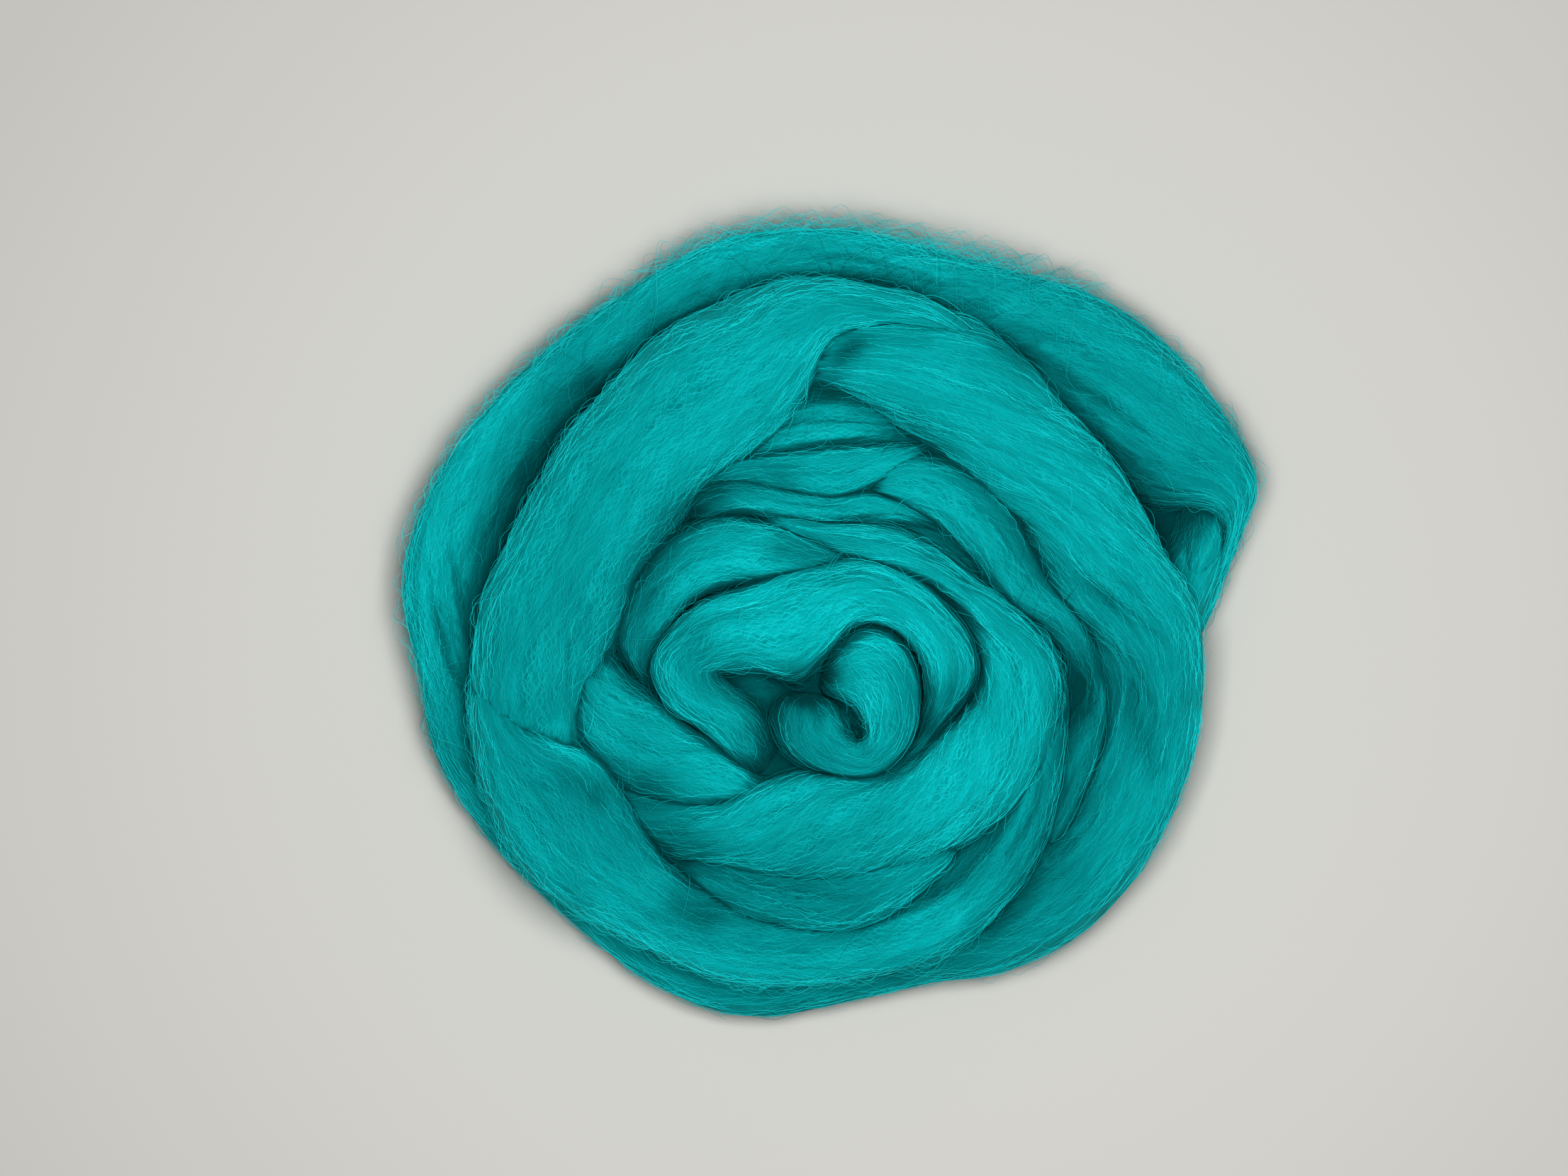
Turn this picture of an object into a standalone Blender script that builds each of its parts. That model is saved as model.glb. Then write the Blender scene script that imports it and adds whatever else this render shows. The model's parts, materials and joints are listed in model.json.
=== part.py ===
"""Wool roving wound in a loose nest.

One continuous length of combed wool, wound by hand into a flat nest and laid down. It is one solid:
every turn, twist and fold of the winding is a flattened strand, lofted through the sections in its
table, and the strands are joined into one body with a flat underside.

Units in the tables are millimetres. +Z is up, the nest rests on z = 0, and its box is centred on the
Z axis. Each strand is walked anticlockwise round the nest unless its note says otherwise.
"""
import math

import bmesh
import bpy
from mathutils import Vector

MM = 0.001                      # metres in a millimetre
NEST_CENTRE = (0.5, -1.1)       # plan point of the tables that lies on the Z axis
SECTION_SIDES = 16              # sides of a strand's section
SECTION_STEP = 8.0              # distance between lofted sections
SECTION_FULLNESS = 0.85         # 1 is an ellipse, less is squarer
SEAM_GAP = 0.001                # points of a strand closer than this are one point
WOOL_GRAIN = 2.0                # spacing of the even skin laid over the joined strands
WOOL_SWELL = 0.5                # what the skin is let out by, so that its chords reach the full size
SKIN_TRIANGLES = 9500           # triangles that the skin is thinned to
FLOOR_SLAB = (400.0, 400.0, 30.0)
FLAT_MERGE = 0.03               # points of the flat underside closer than this are one point
WOOL_TEAL = (0.0, 0.36, 0.37, 1.0)
WOOL_ROUGHNESS = 0.9

# Each row is one section: the plan point and height of its inner edge, those of its outer edge, and how
# far its crown rises above them. "belly" is how far the strand hangs below its edges, and "cap" is the
# length over which its ends round off.
COLUMNS = ("in_x", "in_y", "in_z", "out_x", "out_y", "out_z", "crown")

STRANDS = {
    # It starts as a thin edge wrapped round the corner at the right. It widens over the top and runs
    # down the left, along the bottom and up the right side, to the twist at the top.
    "outer_turn": dict(belly=16, cap=7, rows=(
        (91, -7, 13, 94, -7, 13, 4),
        (94.5, 3, 13, 97.7, 3, 13, 5),
        (97.5, 11, 14, 101, 11, 13, 6),
        (99.5, 17, 15, 103.3, 17.5, 14, 7),
        (100.5, 22.5, 17, 105.5, 24, 15, 8),
        (97.5, 26.5, 19, 108, 32, 16, 10),
        (92, 28, 18, 106.5, 40, 16, 12),
        (84, 28, 15, 101.5, 49, 16, 13),
        (75, 31, 10, 93, 60.5, 16, 14),
        (62, 39, 5, 82, 71.5, 17, 14),
        (48, 47, 3, 67, 81, 17, 13),
        (32, 54, 3, 50, 87, 17, 13),
        (14, 58, 1, 28, 93, 18, 13),
        (-4, 60, -2, 2, 98.5, 18, 12),
        (-24, 57, -4, -26, 96, 18, 12),
        (-42, 48, -4, -52, 82.5, 18, 12),
        (-56, 32, -4, -80, 60, 18, 12),
        (-64, 14, -4, -99, 35, 18, 12),
        (-67, -4, -2, -107, 10, 18, 12),
        (-66, -22, 2, -103.5, -16, 17, 12),
        (-60, -38, 3, -99.5, -37, 14, 11),
        (-50, -50, 3, -84, -60, 12, 10),
        (-36, -58, 3, -60, -82, 11, 9),
        (-20, -63, 3, -38, -96, 11, 9),
        (-2, -64, 3, -18, -101, 11, 9),
        (14, -62, 3, 6, -97, 11, 9),
        (28, -60, 4, 25, -92.5, 11, 11),
        (40, -56, 8, 44, -89.5, 12, 13),
        (48, -52, 14, 64, -79.5, 14, 15),
        (54.5, -49, 10, 78, -64, 17, 15),
        (60, -42, 13, 87, -48, 19, 15),
        (66.5, -31, 16, 92.5, -30, 21, 15),
        (69.5, -19, 20, 94, -13, 24, 15),
        (66.5, -7, 24, 93, -1.5, 27, 15),
        (60, 1.5, 26, 89, 9.5, 29, 15),
        (55.5, 10, 26, 83, 20.5, 30, 15),
        (49, 22, 25, 76, 33, 31, 15),
        (39, 30.5, 25, 68, 44, 31, 14),
        (28, 40, 25, 58, 54, 30, 14),
        (17, 47, 25, 49.5, 64, 30, 14),
        (5, 55.5, 27, 39, 73, 30, 14),
        (-5, 60, 29, 25, 78.5, 29, 13),
    )),
    # The same strand past its twist: it passes over itself at the top and runs down the left side.
    "second_turn": dict(belly=20, cap=6, rows=(
        (52, 57, 22, 54, 59.5, 22, 5),
        (44, 64, 27, 46, 67.5, 27, 7),
        (35, 69, 30, 37.5, 73, 30, 10),
        (24, 71.5, 32, 26, 79, 31, 13),
        (11, 71.5, 33, 12, 84, 31, 15),
        (2, 68.5, 33, -2, 87, 31, 16),
        (-4, 59, 33, -14, 85, 31, 17),
        (-11, 48.5, 32, -27, 79.5, 31, 17),
        (-21, 39.5, 28, -42, 70.5, 31, 17),
        (-31, 31, 25, -56, 59, 31, 17),
        (-39, 20, 23, -68, 44, 31, 17),
        (-47, 10, 23, -80, 23.5, 31, 17),
        (-50.5, 1, 23, -88.5, 7, 31, 16),
        (-54.5, -9, 23, -91, -8, 31, 15),
        (-58.5, -19, 22, -91, -22, 30, 14),
        (-58.5, -31, 20, -88, -36, 28, 12),
        (-55, -41, 22, -82, -48, 24, 10),
    )),
    # It turns over at the lower left, runs along the bottom and up the right side.
    "third_turn": dict(belly=20, cap=7, rows=(
        (-83, -6, 22, -87.5, -7, 22, 6),
        (-83.5, -14, 27, -90.5, -17, 27, 9),
        (-81, -21, 29, -91, -27, 29, 12),
        (-75.5, -27, 28, -89.5, -37, 29, 15),
        (-67, -31, 25, -87.5, -46, 29, 16),
        (-58, -34, 22, -83.5, -54, 29, 16),
        (-51.5, -42, 20, -78, -62, 29, 15),
        (-45.5, -52, 20, -69, -70, 28, 15),
        (-41, -63, 20, -55, -79, 27, 14),
        (-31, -67, 19, -40, -86, 26, 13),
        (-17, -67, 16, -24, -91.5, 25, 12),
        (-2, -67, 14, -7, -93, 24, 12),
        (13, -64, 12, 11, -91, 24, 11),
        (26, -57, 11, 29, -85, 25, 11),
        (34, -48, 12, 45, -74, 26, 12),
        (39, -38, 16, 54.5, -59, 27, 13),
        (42, -28, 21, 58.5, -37, 27, 14),
        (43, -16, 22, 59.5, -20, 24, 13),
        (42, -4, 20, 58, -5, 20, 10),
    )),
    # It comes up from under the outer turn and fills the notch at the top, as a band that parts into
    # locks.
    "right_lock": dict(belly=20, cap=7, rows=(
        (49, -60, 14, 55, -63, 13, 7),
        (52, -54, 18, 59.5, -57, 17, 10),
        (55, -44, 20, 65, -46, 19, 11),
        (58, -31, 20, 71.5, -31, 20, 11),
        (61, -18, 13, 73, -16, 20, 11),
        (58, -8, 22, 69.5, -4, 25, 11),
        (52.5, -2, 26, 64, 4, 26, 12),
        (47, 1, 27, 59.5, 9, 27, 13),
        (41, 7, 28, 54.5, 17.5, 28, 14),
        (35, 16, 29, 47, 30, 29, 14),
        (26, 24.5, 29, 35, 39, 29, 13),
        (17, 28.5, 28, 21, 41.5, 28, 12),
        (8.5, 32, 27, 9.5, 36, 27, 10),
    )),
    "top_lock": dict(belly=18, cap=8, rows=(
        (38, 30, 20, 44, 39, 20, 8),
        (22, 41, 25, 27, 51, 24, 9),
        (10, 42, 27, 11, 57, 25, 10),
        (-4, 41, 27, -6, 59, 25, 10),
        (-18, 38, 26, -24, 52, 25, 10),
        (-30, 32, 24, -38, 42, 24, 8),
    )),
    "middle_lock": dict(belly=18, cap=7, rows=(
        (26, 38, 24, 29, 44, 24, 11),
        (14, 34, 27, 15, 44, 27, 12),
        (2, 30, 28, 2, 43.5, 28, 12),
        (-11, 32, 28, -12, 42, 28, 12),
        (-24, 33.5, 27, -26, 40, 27, 11),
        (-36, 30, 24, -38, 36, 24, 10),
    )),
    "lower_lock": dict(belly=18, cap=6, rows=(
        (33, 18, 20, 36, 21, 20, 8),
        (22, 22.5, 25, 23, 27.5, 25, 11),
        (11, 23, 28, 11, 32.5, 28, 11),
        (-1, 23, 28, -1, 31.5, 28, 11),
        (-12, 24.5, 28, -12, 34, 28, 11),
        (-24, 26.5, 28, -26, 36, 28, 11),
        (-35, 23, 25, -40, 32, 25, 10),
    )),
    # The low stretch that shows in the gap between the right lock and the inner turn.
    "sunk_lock": dict(belly=16, cap=8, rows=(
        (4, 18, 20, 6, 27, 20, 10),
        (18, 16, 21, 22, 26, 21, 10),
        (29, 9, 21, 36, 20, 21, 10),
        (36, -2, 21, 46, 8, 21, 10),
        (40, -12, 19, 52, -6, 19, 9),
    )),
    # The inner turn: down the left ...
    "left_lobe": dict(belly=20, cap=6, rows=(
        (10, 13, 24, 12, 15, 24, 8),
        (3, 13.2, 27, 5, 15.5, 27, 10),
        (-5, 11.5, 29, -2, 18, 29, 13),
        (-15, 10, 30, -13, 23.5, 30, 14),
        (-26, 8, 30, -29, 26.5, 30, 15),
        (-35, 3.5, 30, -43, 20, 30, 15),
        (-41, -4, 29, -51, 8, 29, 14),
        (-44.5, -11.5, 27, -54.5, -5, 27, 12),
        (-43.5, -17, 22, -50, -15, 22, 9),
        (-41, -24, 16, -47, -23, 16, 7),
    )),
    # ... under the lower left ...
    "lower_left_lobe": dict(belly=20, cap=6, rows=(
        (-59, -6, 24, -67, -12, 24, 7),
        (-51.5, -15.5, 28, -65, -27, 27, 12),
        (-43.5, -20.5, 29, -59, -39, 28, 13),
        (-36, -27.5, 29, -48, -46.5, 28, 13),
        (-28, -32.5, 29, -36, -49.5, 27, 13),
        (-20, -39, 27, -26, -50, 25, 12),
        (-10, -44, 22, -14, -54, 20, 9),
    )),
    # ... and round the bottom and the right to the top, where it thins out.
    "inner_turn": dict(belly=20, cap=6, rows=(
        (-58, -35, 19, -60, -46, 19, 8),
        (-47, -43, 26, -49, -55, 25, 11),
        (-38, -46, 28, -39, -60.5, 28, 13),
        (-28, -47, 29, -27, -62.5, 29, 15),
        (-17, -42.5, 30, -14, -66, 30, 16),
        (-5, -38.5, 31, 2, -66.5, 30, 17),
        (8, -40, 31, 18, -63, 30, 17),
        (20, -36, 31, 34, -56.5, 30, 17),
        (30, -28, 31, 48.5, -45, 30, 17),
        (37.5, -20, 31, 57, -29, 30, 16),
        (39, -10, 31, 58, -11, 30, 15),
        (34, 0, 30, 48, 2.5, 30, 14),
        (27, 7.5, 30, 38, 9, 30, 14),
        (17, 11.5, 30, 27, 17.5, 29, 13),
        (6, 14, 29, 14, 23, 28, 13),
        (-6, 19, 28, -3, 24.5, 28, 12),
        (-18, 25, 26, -18, 27, 26, 10),
    )),
    # A short fold of the third turn that is squeezed out under the inner turn.
    "bottom_fold": dict(belly=18, cap=6, rows=(
        (-40, -56, 20, -44, -62, 20, 8),
        (-26, -58, 26, -29, -72.5, 25, 11),
        (-12, -60, 27, -13, -77.5, 26, 12),
        (3, -60, 27, 4, -79, 26, 12),
        (17, -57, 27, 19, -72, 26, 12),
        (30, -51, 24, 34, -59.5, 24, 11),
    )),
    # The heart of the winding: a wide curl round the middle ...
    "wide_curl": dict(belly=22, cap=6, rows=(
        (7, -41, 20, 12, -46, 20, 7),
        (16, -36, 25, 20.5, -39, 25, 11),
        (22, -30.5, 28, 29, -30.5, 28, 14),
        (24.5, -22, 29, 37, -20.5, 30, 15),
        (24, -13, 30, 38.5, -11, 31, 16),
        (19.5, -6, 31, 33.5, -1, 32, 17),
        (13, -2, 31, 24, 9, 32, 17),
        (6, -2.5, 31, 9, 14.5, 32, 17),
        (-1, -10, 31, -6, 13, 32, 17),
        (-8, -15.5, 31, -20, 9.5, 32, 17),
        (-17, -13.5, 31, -32, 5.5, 32, 16),
        (-24, -13.5, 31, -41, -2.5, 32, 16),
        (-28, -14, 31, -45, -12, 31, 16),
        (-25.5, -18, 30, -41, -22, 30, 15),
        (-18, -23, 27, -31.5, -29, 29, 13),
        (-14, -29, 24, -25, -36, 26, 12),
        (-11.5, -36, 19, -19, -42.5, 19, 9),
    )),
    # ... and the end of the roving, curled round a small hole (walked clockwise).
    "centre_curl": dict(belly=22, cap=5, rows=(
        (-3, -17.5, 23, -0.5, -9, 23, 8),
        (1, -19, 29, 1.8, -6.3, 28, 11),
        (4.5, -20.5, 32, 8, -2.3, 31, 14),
        (7.5, -22.5, 34, 15.5, -3.5, 33, 15),
        (9, -25, 34, 21.5, -9.5, 33, 16),
        (9.8, -27.5, 34, 24.3, -17.5, 33, 16),
        (9.8, -29.7, 34, 24, -26.5, 33, 16),
        (9, -31, 33, 20, -34.5, 32, 16),
        (7, -31.5, 31, 12.5, -39.5, 31, 14),
        (5.5, -30.5, 30, 3.5, -39.8, 31, 13),
        (4.5, -28.5, 29, -5, -37, 31, 12),
        (4, -26, 28, -11.5, -31.5, 30, 12),
        (3, -23, 26, -13.7, -24.5, 28, 11),
        (0, -19.5, 23, -11.5, -18.5, 24, 9),
    )),
    "sunk_curl": dict(belly=14, cap=6, rows=(
        (-28, -22, 18, -29, -14, 18, 7),
        (-21, -24, 21, -22, -12, 21, 9),
        (-14, -26, 20, -13, -15, 20, 9),
        (-8, -27, 16, -5, -17, 16, 7),
    )),
    # The start of the roving comes up the right side and folds back over into the outer turn.
    "fold_back": dict(belly=15, cap=7, rows=(
        (75, -18, 14, 91.5, -20, 14, 11),
        (77, -4, 14, 93, -5, 14, 12),
        (80, 6, 14, 97.5, 6, 14, 11),
        (85, 14, 13, 101, 14, 13, 10),
        (89, 22, 12, 104, 22, 12, 9),
        (90, 31, 11, 105, 33, 11, 8),
    )),
    "curled_edge": dict(belly=16, cap=6, rows=(
        (84, 1, 14, 91, 0, 13, 8),
        (88, 9, 14, 96, 9, 13, 10),
        (90, 16, 14, 99.5, 16, 13, 11),
        (91, 23, 12, 101.5, 23, 12, 11),
        (91.5, 31, 10, 101, 33, 10, 8),
    )),
    # Turns that lie hidden under the ones above.
    "lower_coil_outer": dict(belly=16, cap=16, rows=(
        (30, 34, 13, 50, 60, 13, 12),
        (0, 42, 13, 2, 68, 13, 12),
        (-32, 32, 13, -50, 52, 13, 12),
        (-44, 0, 13, -72, 4, 13, 12),
        (-34, -30, 13, -54, -52, 13, 12),
        (0, -44, 13, 2, -72, 13, 12),
        (34, -32, 13, 58, -54, 13, 12),
        (48, -2, 13, 80, -6, 13, 12),
        (52, 22, 9, 93, 24, 4, 5),
        (38, 40, 13, 64, 58, 13, 12),
    )),
    "lower_coil_inner": dict(belly=16, cap=14, rows=(
        (10, 22, 13, 20, 46, 13, 12),
        (-10, 20, 13, -20, 46, 13, 12),
        (-22, -2, 13, -50, 0, 13, 12),
        (-12, -22, 13, -30, -46, 13, 12),
        (10, -24, 13, 18, -52, 13, 12),
        (24, -6, 13, 52, -14, 13, 12),
        (22, 12, 13, 50, 24, 13, 12),
        (14, 22, 13, 36, 44, 13, 12),
    )),
    "lower_coil_heart": dict(belly=16, cap=12, rows=(
        (-26, 24, 13, -26, -30, 13, 9),
        (-8, 28, 13, -8, -36, 13, 10),
        (14, 30, 13, 14, -38, 13, 11),
        (34, 26, 13, 34, -32, 13, 10),
    )),
}


def new_collection(name):
    collection = bpy.data.collections.new(name)
    bpy.context.scene.collection.children.link(collection)
    return collection


def through(values, t):
    """The smooth curve through a column of values, at a place t counted in rows."""
    last = len(values) - 1
    i = min(int(t), last - 1)
    u = t - i
    before = values[i - 1] if i > 0 else 2 * values[i] - values[i + 1]
    after = values[i + 2] if i + 2 <= last else 2 * values[i + 1] - values[i]
    start, end = values[i], values[i + 1]
    slope_in = (end - before) / 2
    slope_out = (after - start) / 2
    return ((2 * u**3 - 3 * u**2 + 1) * start + (u**3 - 2 * u**2 + u) * slope_in
            + (3 * u**2 - 2 * u**3) * end + (u**3 - u**2) * slope_out)


def section_at(strand, t):
    """The section at a place t counted in rows, as a dict with the names in COLUMNS."""
    columns = zip(*strand["rows"])
    return {name: through(values, t) for name, values in zip(COLUMNS, columns)}


def edges_of(section):
    inner = Vector((section["in_x"], section["in_y"], section["in_z"]))
    outer = Vector((section["out_x"], section["out_y"], section["out_z"]))
    return inner, outer


def evenly_spaced(strand, step):
    """Places along a strand, counted in rows, about one step apart, and the distance at each."""
    fine = 16
    places, distances = [0.0], [0.0]
    previous = None
    for k in range(fine * (len(strand["rows"]) - 1) + 1):
        inner, outer = edges_of(section_at(strand, k / fine))
        middle = (inner + outer) / 2
        if previous is not None:
            places.append(k / fine)
            distances.append(distances[-1] + (middle - previous).length)
        previous = middle
    count = max(4, round(distances[-1] / step))
    result = []
    k = 0
    for n in range(count + 1):
        target = distances[-1] * n / count
        while k < len(distances) - 2 and distances[k + 1] < target:
            k += 1
        part = (target - distances[k]) / (distances[k + 1] - distances[k])
        result.append((places[k] + (places[k + 1] - places[k]) * part, target))
    return result


def squared(value, fullness):
    return math.copysign(abs(value) ** fullness, value)


def end_rounding(distance, length, cap):
    """How much of its full size a section has, this far along a strand of this length."""
    near = min(distance, length - distance)
    if near >= cap:
        return 1.0
    return math.sqrt(max(0.0, 1 - (1 - near / cap) ** 2))


def loft(name, strand, collection):
    """A strand as a closed mesh: a flat grid wrapped round the sections and joined at its seam."""
    places = evenly_spaced(strand, SECTION_STEP)
    length = places[-1][1]
    shape = bmesh.new()
    bmesh.ops.create_grid(shape, x_segments=SECTION_SIDES, y_segments=len(places) - 1, size=1)
    for vert in shape.verts:
        angle = -math.pi * (vert.co.x + 1)
        place, distance = places[round((vert.co.y + 1) / 2 * (len(places) - 1))]
        section = section_at(strand, place)
        inner, outer = edges_of(section)
        size = end_rounding(distance, length, strand["cap"])
        across = squared(math.cos(angle), SECTION_FULLNESS) * size
        rise = squared(math.sin(angle), SECTION_FULLNESS) * size
        rise *= section["crown"] if rise > 0 else strand["belly"]
        vert.co = (inner + outer) / 2 + (outer - inner) / 2 * across + Vector((0, 0, rise))
    bmesh.ops.remove_doubles(shape, verts=shape.verts, dist=SEAM_GAP)
    bmesh.ops.recalc_face_normals(shape, faces=shape.faces)
    shift = Vector((NEST_CENTRE[0], NEST_CENTRE[1], 0))
    for vert in shape.verts:
        vert.co = (vert.co - shift) * MM
    mesh = bpy.data.meshes.new(name)
    shape.to_mesh(mesh)
    shape.free()
    strand_object = bpy.data.objects.new(name, mesh)
    collection.objects.link(strand_object)
    return strand_object


def as_guides(collection):
    for guide in collection.objects:
        guide.hide_render = True
        guide.display_type = "WIRE"


def add_boolean(base, operation, other):
    """A Boolean on the base: with one object, or with every object of a collection."""
    modifier = base.modifiers.new(operation.lower(), "BOOLEAN")
    modifier.operation = operation
    modifier.solver = "EXACT"
    if isinstance(other, bpy.types.Collection):
        modifier.operand_type = "COLLECTION"
        modifier.collection = other
        modifier.use_self = True
    else:
        modifier.object = other


def evaluated_mesh(source):
    bpy.context.view_layer.update()
    depsgraph = bpy.context.evaluated_depsgraph_get()
    return bpy.data.meshes.new_from_object(source.evaluated_get(depsgraph))


def skins_of(shape):
    """The separate closed skins of a mesh, each as a list of faces."""
    waiting = set(shape.faces)
    skins = []
    while waiting:
        reached = [waiting.pop()]
        skin = []
        while reached:
            face = reached.pop()
            skin.append(face)
            for edge in face.edges:
                for neighbour in edge.link_faces:
                    if neighbour in waiting:
                        waiting.remove(neighbour)
                        reached.append(neighbour)
        skins.append(skin)
    return skins


def keep_outer_skin(mesh):
    """Fill the pockets shut in between the strands, by leaving out their skins."""
    shape = bmesh.new()
    shape.from_mesh(mesh)
    skins = skins_of(shape)
    outer = max(skins, key=len)
    pockets = [face for skin in skins if skin is not outer for face in skin]
    bmesh.ops.delete(shape, geom=pockets, context="FACES")
    shape.to_mesh(mesh)
    shape.free()


def merge_on_floor(mesh):
    """Merge the crowded points where the flat underside meets the strands."""
    shape = bmesh.new()
    shape.from_mesh(mesh)
    on_floor = [vert for vert in shape.verts if abs(vert.co.z) < 1e-6]
    bmesh.ops.remove_doubles(shape, verts=on_floor, dist=FLAT_MERGE * MM)
    bmesh.ops.triangulate(shape, faces=shape.faces)
    shape.to_mesh(mesh)
    shape.free()


def wool_material():
    material = bpy.data.materials.new("combed_wool")
    material.use_nodes = True
    shader = material.node_tree.nodes["Principled BSDF"]
    shader.inputs["Base Color"].default_value = WOOL_TEAL
    shader.inputs["Roughness"].default_value = WOOL_ROUGHNESS
    shader.inputs["Metallic"].default_value = 0.0
    return material


def wind_strands(guides):
    """All the strands as one mesh, with nothing shut in between them."""
    strands = [loft(name, strand, guides) for name, strand in STRANDS.items()]
    first = strands[0]
    guides.objects.unlink(first)
    bpy.context.scene.collection.objects.link(first)
    add_boolean(first, "UNION", guides)
    mesh = evaluated_mesh(first)
    bpy.data.objects.remove(first)
    keep_outer_skin(mesh)
    return mesh


def floor_slab(guides):
    bpy.ops.mesh.primitive_cube_add(size=1, location=(0, 0, -FLOOR_SLAB[2] * MM / 2))
    slab = bpy.context.object
    slab.name = "floor_slab"
    slab.scale = [side * MM for side in FLOOR_SLAB]
    bpy.ops.object.transform_apply(location=False, rotation=False, scale=True)
    for collection in list(slab.users_collection):
        collection.objects.unlink(slab)
    guides.objects.link(slab)
    return slab


def make_roving():
    parts = new_collection("wool_roving")
    strand_guides = new_collection("strand_guides")
    cutters = new_collection("cutters")
    roving = bpy.data.objects.new("wound_roving", wind_strands(strand_guides))
    parts.objects.link(roving)

    skin = roving.modifiers.new("even_skin", "REMESH")
    skin.mode = "VOXEL"
    skin.voxel_size = WOOL_GRAIN * MM
    swell = roving.modifiers.new("swell", "DISPLACE")
    swell.strength = WOOL_SWELL * MM
    swell.mid_level = 0.0
    bpy.context.view_layer.update()
    depsgraph = bpy.context.evaluated_depsgraph_get()
    quads = len(roving.evaluated_get(depsgraph).data.polygons)
    thinning = roving.modifiers.new("thinning", "DECIMATE")
    thinning.ratio = SKIN_TRIANGLES / (2 * quads)
    add_boolean(roving, "DIFFERENCE", floor_slab(cutters))

    roving.data = evaluated_mesh(roving)
    roving.modifiers.clear()
    keep_outer_skin(roving.data)
    merge_on_floor(roving.data)
    roving.data.name = "wound_roving"
    roving.data.materials.clear()
    roving.data.materials.append(wool_material())
    roving.data.shade_smooth()
    as_guides(strand_guides)
    as_guides(cutters)
    return roving


def clear_scene():
    for leftover in list(bpy.data.objects):
        bpy.data.objects.remove(leftover)


clear_scene()
make_roving()
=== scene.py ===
# %% [markdown]
# # Wool roving wound in a loose nest
#
# Roving is wool that was washed, dyed and combed until its fibres lie side by side in one long soft
# rope. Here about two metres of it are wound by hand into a flat nest. There is no yarn in it and no
# twist: thousands of fine, wavy fibres cling to each other, and that is what gives it its matt, downy
# look.
#
# The nest is made in three layers. The strands of the winding are smooth closed shapes with ridges and
# creases pressed into them. A material draws the fine fibres that lie in their surface. Over that come
# modelled fibres, each a few hairs thick, which catch the light, bridge the dark gaps and fray at the
# rim.

import json
import math

import bmesh
import bpy
import numpy as np
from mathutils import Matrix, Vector
from mathutils.bvhtree import BVHTree

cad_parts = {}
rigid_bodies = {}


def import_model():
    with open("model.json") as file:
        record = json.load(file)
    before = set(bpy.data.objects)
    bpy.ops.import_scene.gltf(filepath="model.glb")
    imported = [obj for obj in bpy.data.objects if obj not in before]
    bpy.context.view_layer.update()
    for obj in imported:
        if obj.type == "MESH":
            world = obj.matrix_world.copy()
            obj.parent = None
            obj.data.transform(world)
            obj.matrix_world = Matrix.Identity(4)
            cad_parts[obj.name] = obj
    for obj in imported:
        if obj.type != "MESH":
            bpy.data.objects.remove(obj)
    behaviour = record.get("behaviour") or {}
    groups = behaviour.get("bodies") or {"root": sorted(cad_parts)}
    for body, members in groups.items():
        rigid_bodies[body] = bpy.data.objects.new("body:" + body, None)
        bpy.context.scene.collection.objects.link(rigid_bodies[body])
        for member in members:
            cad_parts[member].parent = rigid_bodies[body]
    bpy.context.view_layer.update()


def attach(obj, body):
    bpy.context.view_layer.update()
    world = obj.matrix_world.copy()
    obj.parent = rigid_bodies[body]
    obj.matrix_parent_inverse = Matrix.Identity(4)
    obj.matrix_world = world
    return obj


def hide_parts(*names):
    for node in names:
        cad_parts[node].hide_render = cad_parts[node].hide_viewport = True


for leftover in list(bpy.data.objects):     # the cube, lamp and camera that Blender may open with
    bpy.data.objects.remove(leftover)
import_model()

MM = 0.001                      # metres in a millimetre; the sizes below are in millimetres
NEST_CENTRE = (0.5, -1.1)       # plan point of the tables that lies on the Z axis
BODY, NODE, SLOT = "root", "wound_roving", "wool"


def placed(points):
    """Table millimetres to scene metres."""
    return (np.asarray(points) - (*NEST_CENTRE, 0)) * MM


def put_in_scene(name, data):
    """A new object, unturned and unscaled at the origin."""
    made = bpy.data.objects.new(name, data)
    bpy.context.scene.collection.objects.link(made)
    return made


def hand_over(piece):
    """Attach a finished piece to the body it rides on, hide the CAD part it stands for, and count its
    triangles.
    """
    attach(piece, BODY)
    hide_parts(NODE)
    piece.data.calc_loop_triangles()
    return len(piece.data.loop_triangles)


# %% [markdown]
# ## Camera
# The nest is looked at from straight above, so the camera needs no rotation: an unturned Blender
# camera looks down the Z axis. Its lens is worked out from the width of table that it has to show, so
# the distance can be changed without changing the picture.

# %% Camera straight above the nest
VIEW_CENTRE = (-11.2, 7.3)      # plan point in the middle of the picture
VIEW_WIDTH = 398.0              # width of table in the picture
VIEW_LEVEL = 18.0               # height at which that width is measured
CAMERA_HEIGHT = 2200.0
SENSOR_WIDTH = 36.0

camera_data = bpy.data.cameras.new("camera_above")
camera_data.sensor_width = SENSOR_WIDTH
camera_data.lens = SENSOR_WIDTH * (CAMERA_HEIGHT - VIEW_LEVEL) / VIEW_WIDTH
camera = put_in_scene("camera_above", camera_data)
camera.location = placed((*VIEW_CENTRE, CAMERA_HEIGHT))
bpy.context.scene.camera = camera
print("lens in mm:", round(camera_data.lens, 1))

# %% [markdown]
# ## The winding, strand by strand
# A hand winding can't be written as a formula, because every turn is flattened and pushed about by
# its neighbours. What it can be is a short table. Each row is one section of a strand: the plan point
# and height of its inner edge, those of its outer edge, and how far its crown rises above them. A
# smooth curve through the rows gives every section in between. "belly" is how far a strand hangs
# below its edges, and "cap" is the length over which its ends round off.

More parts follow.
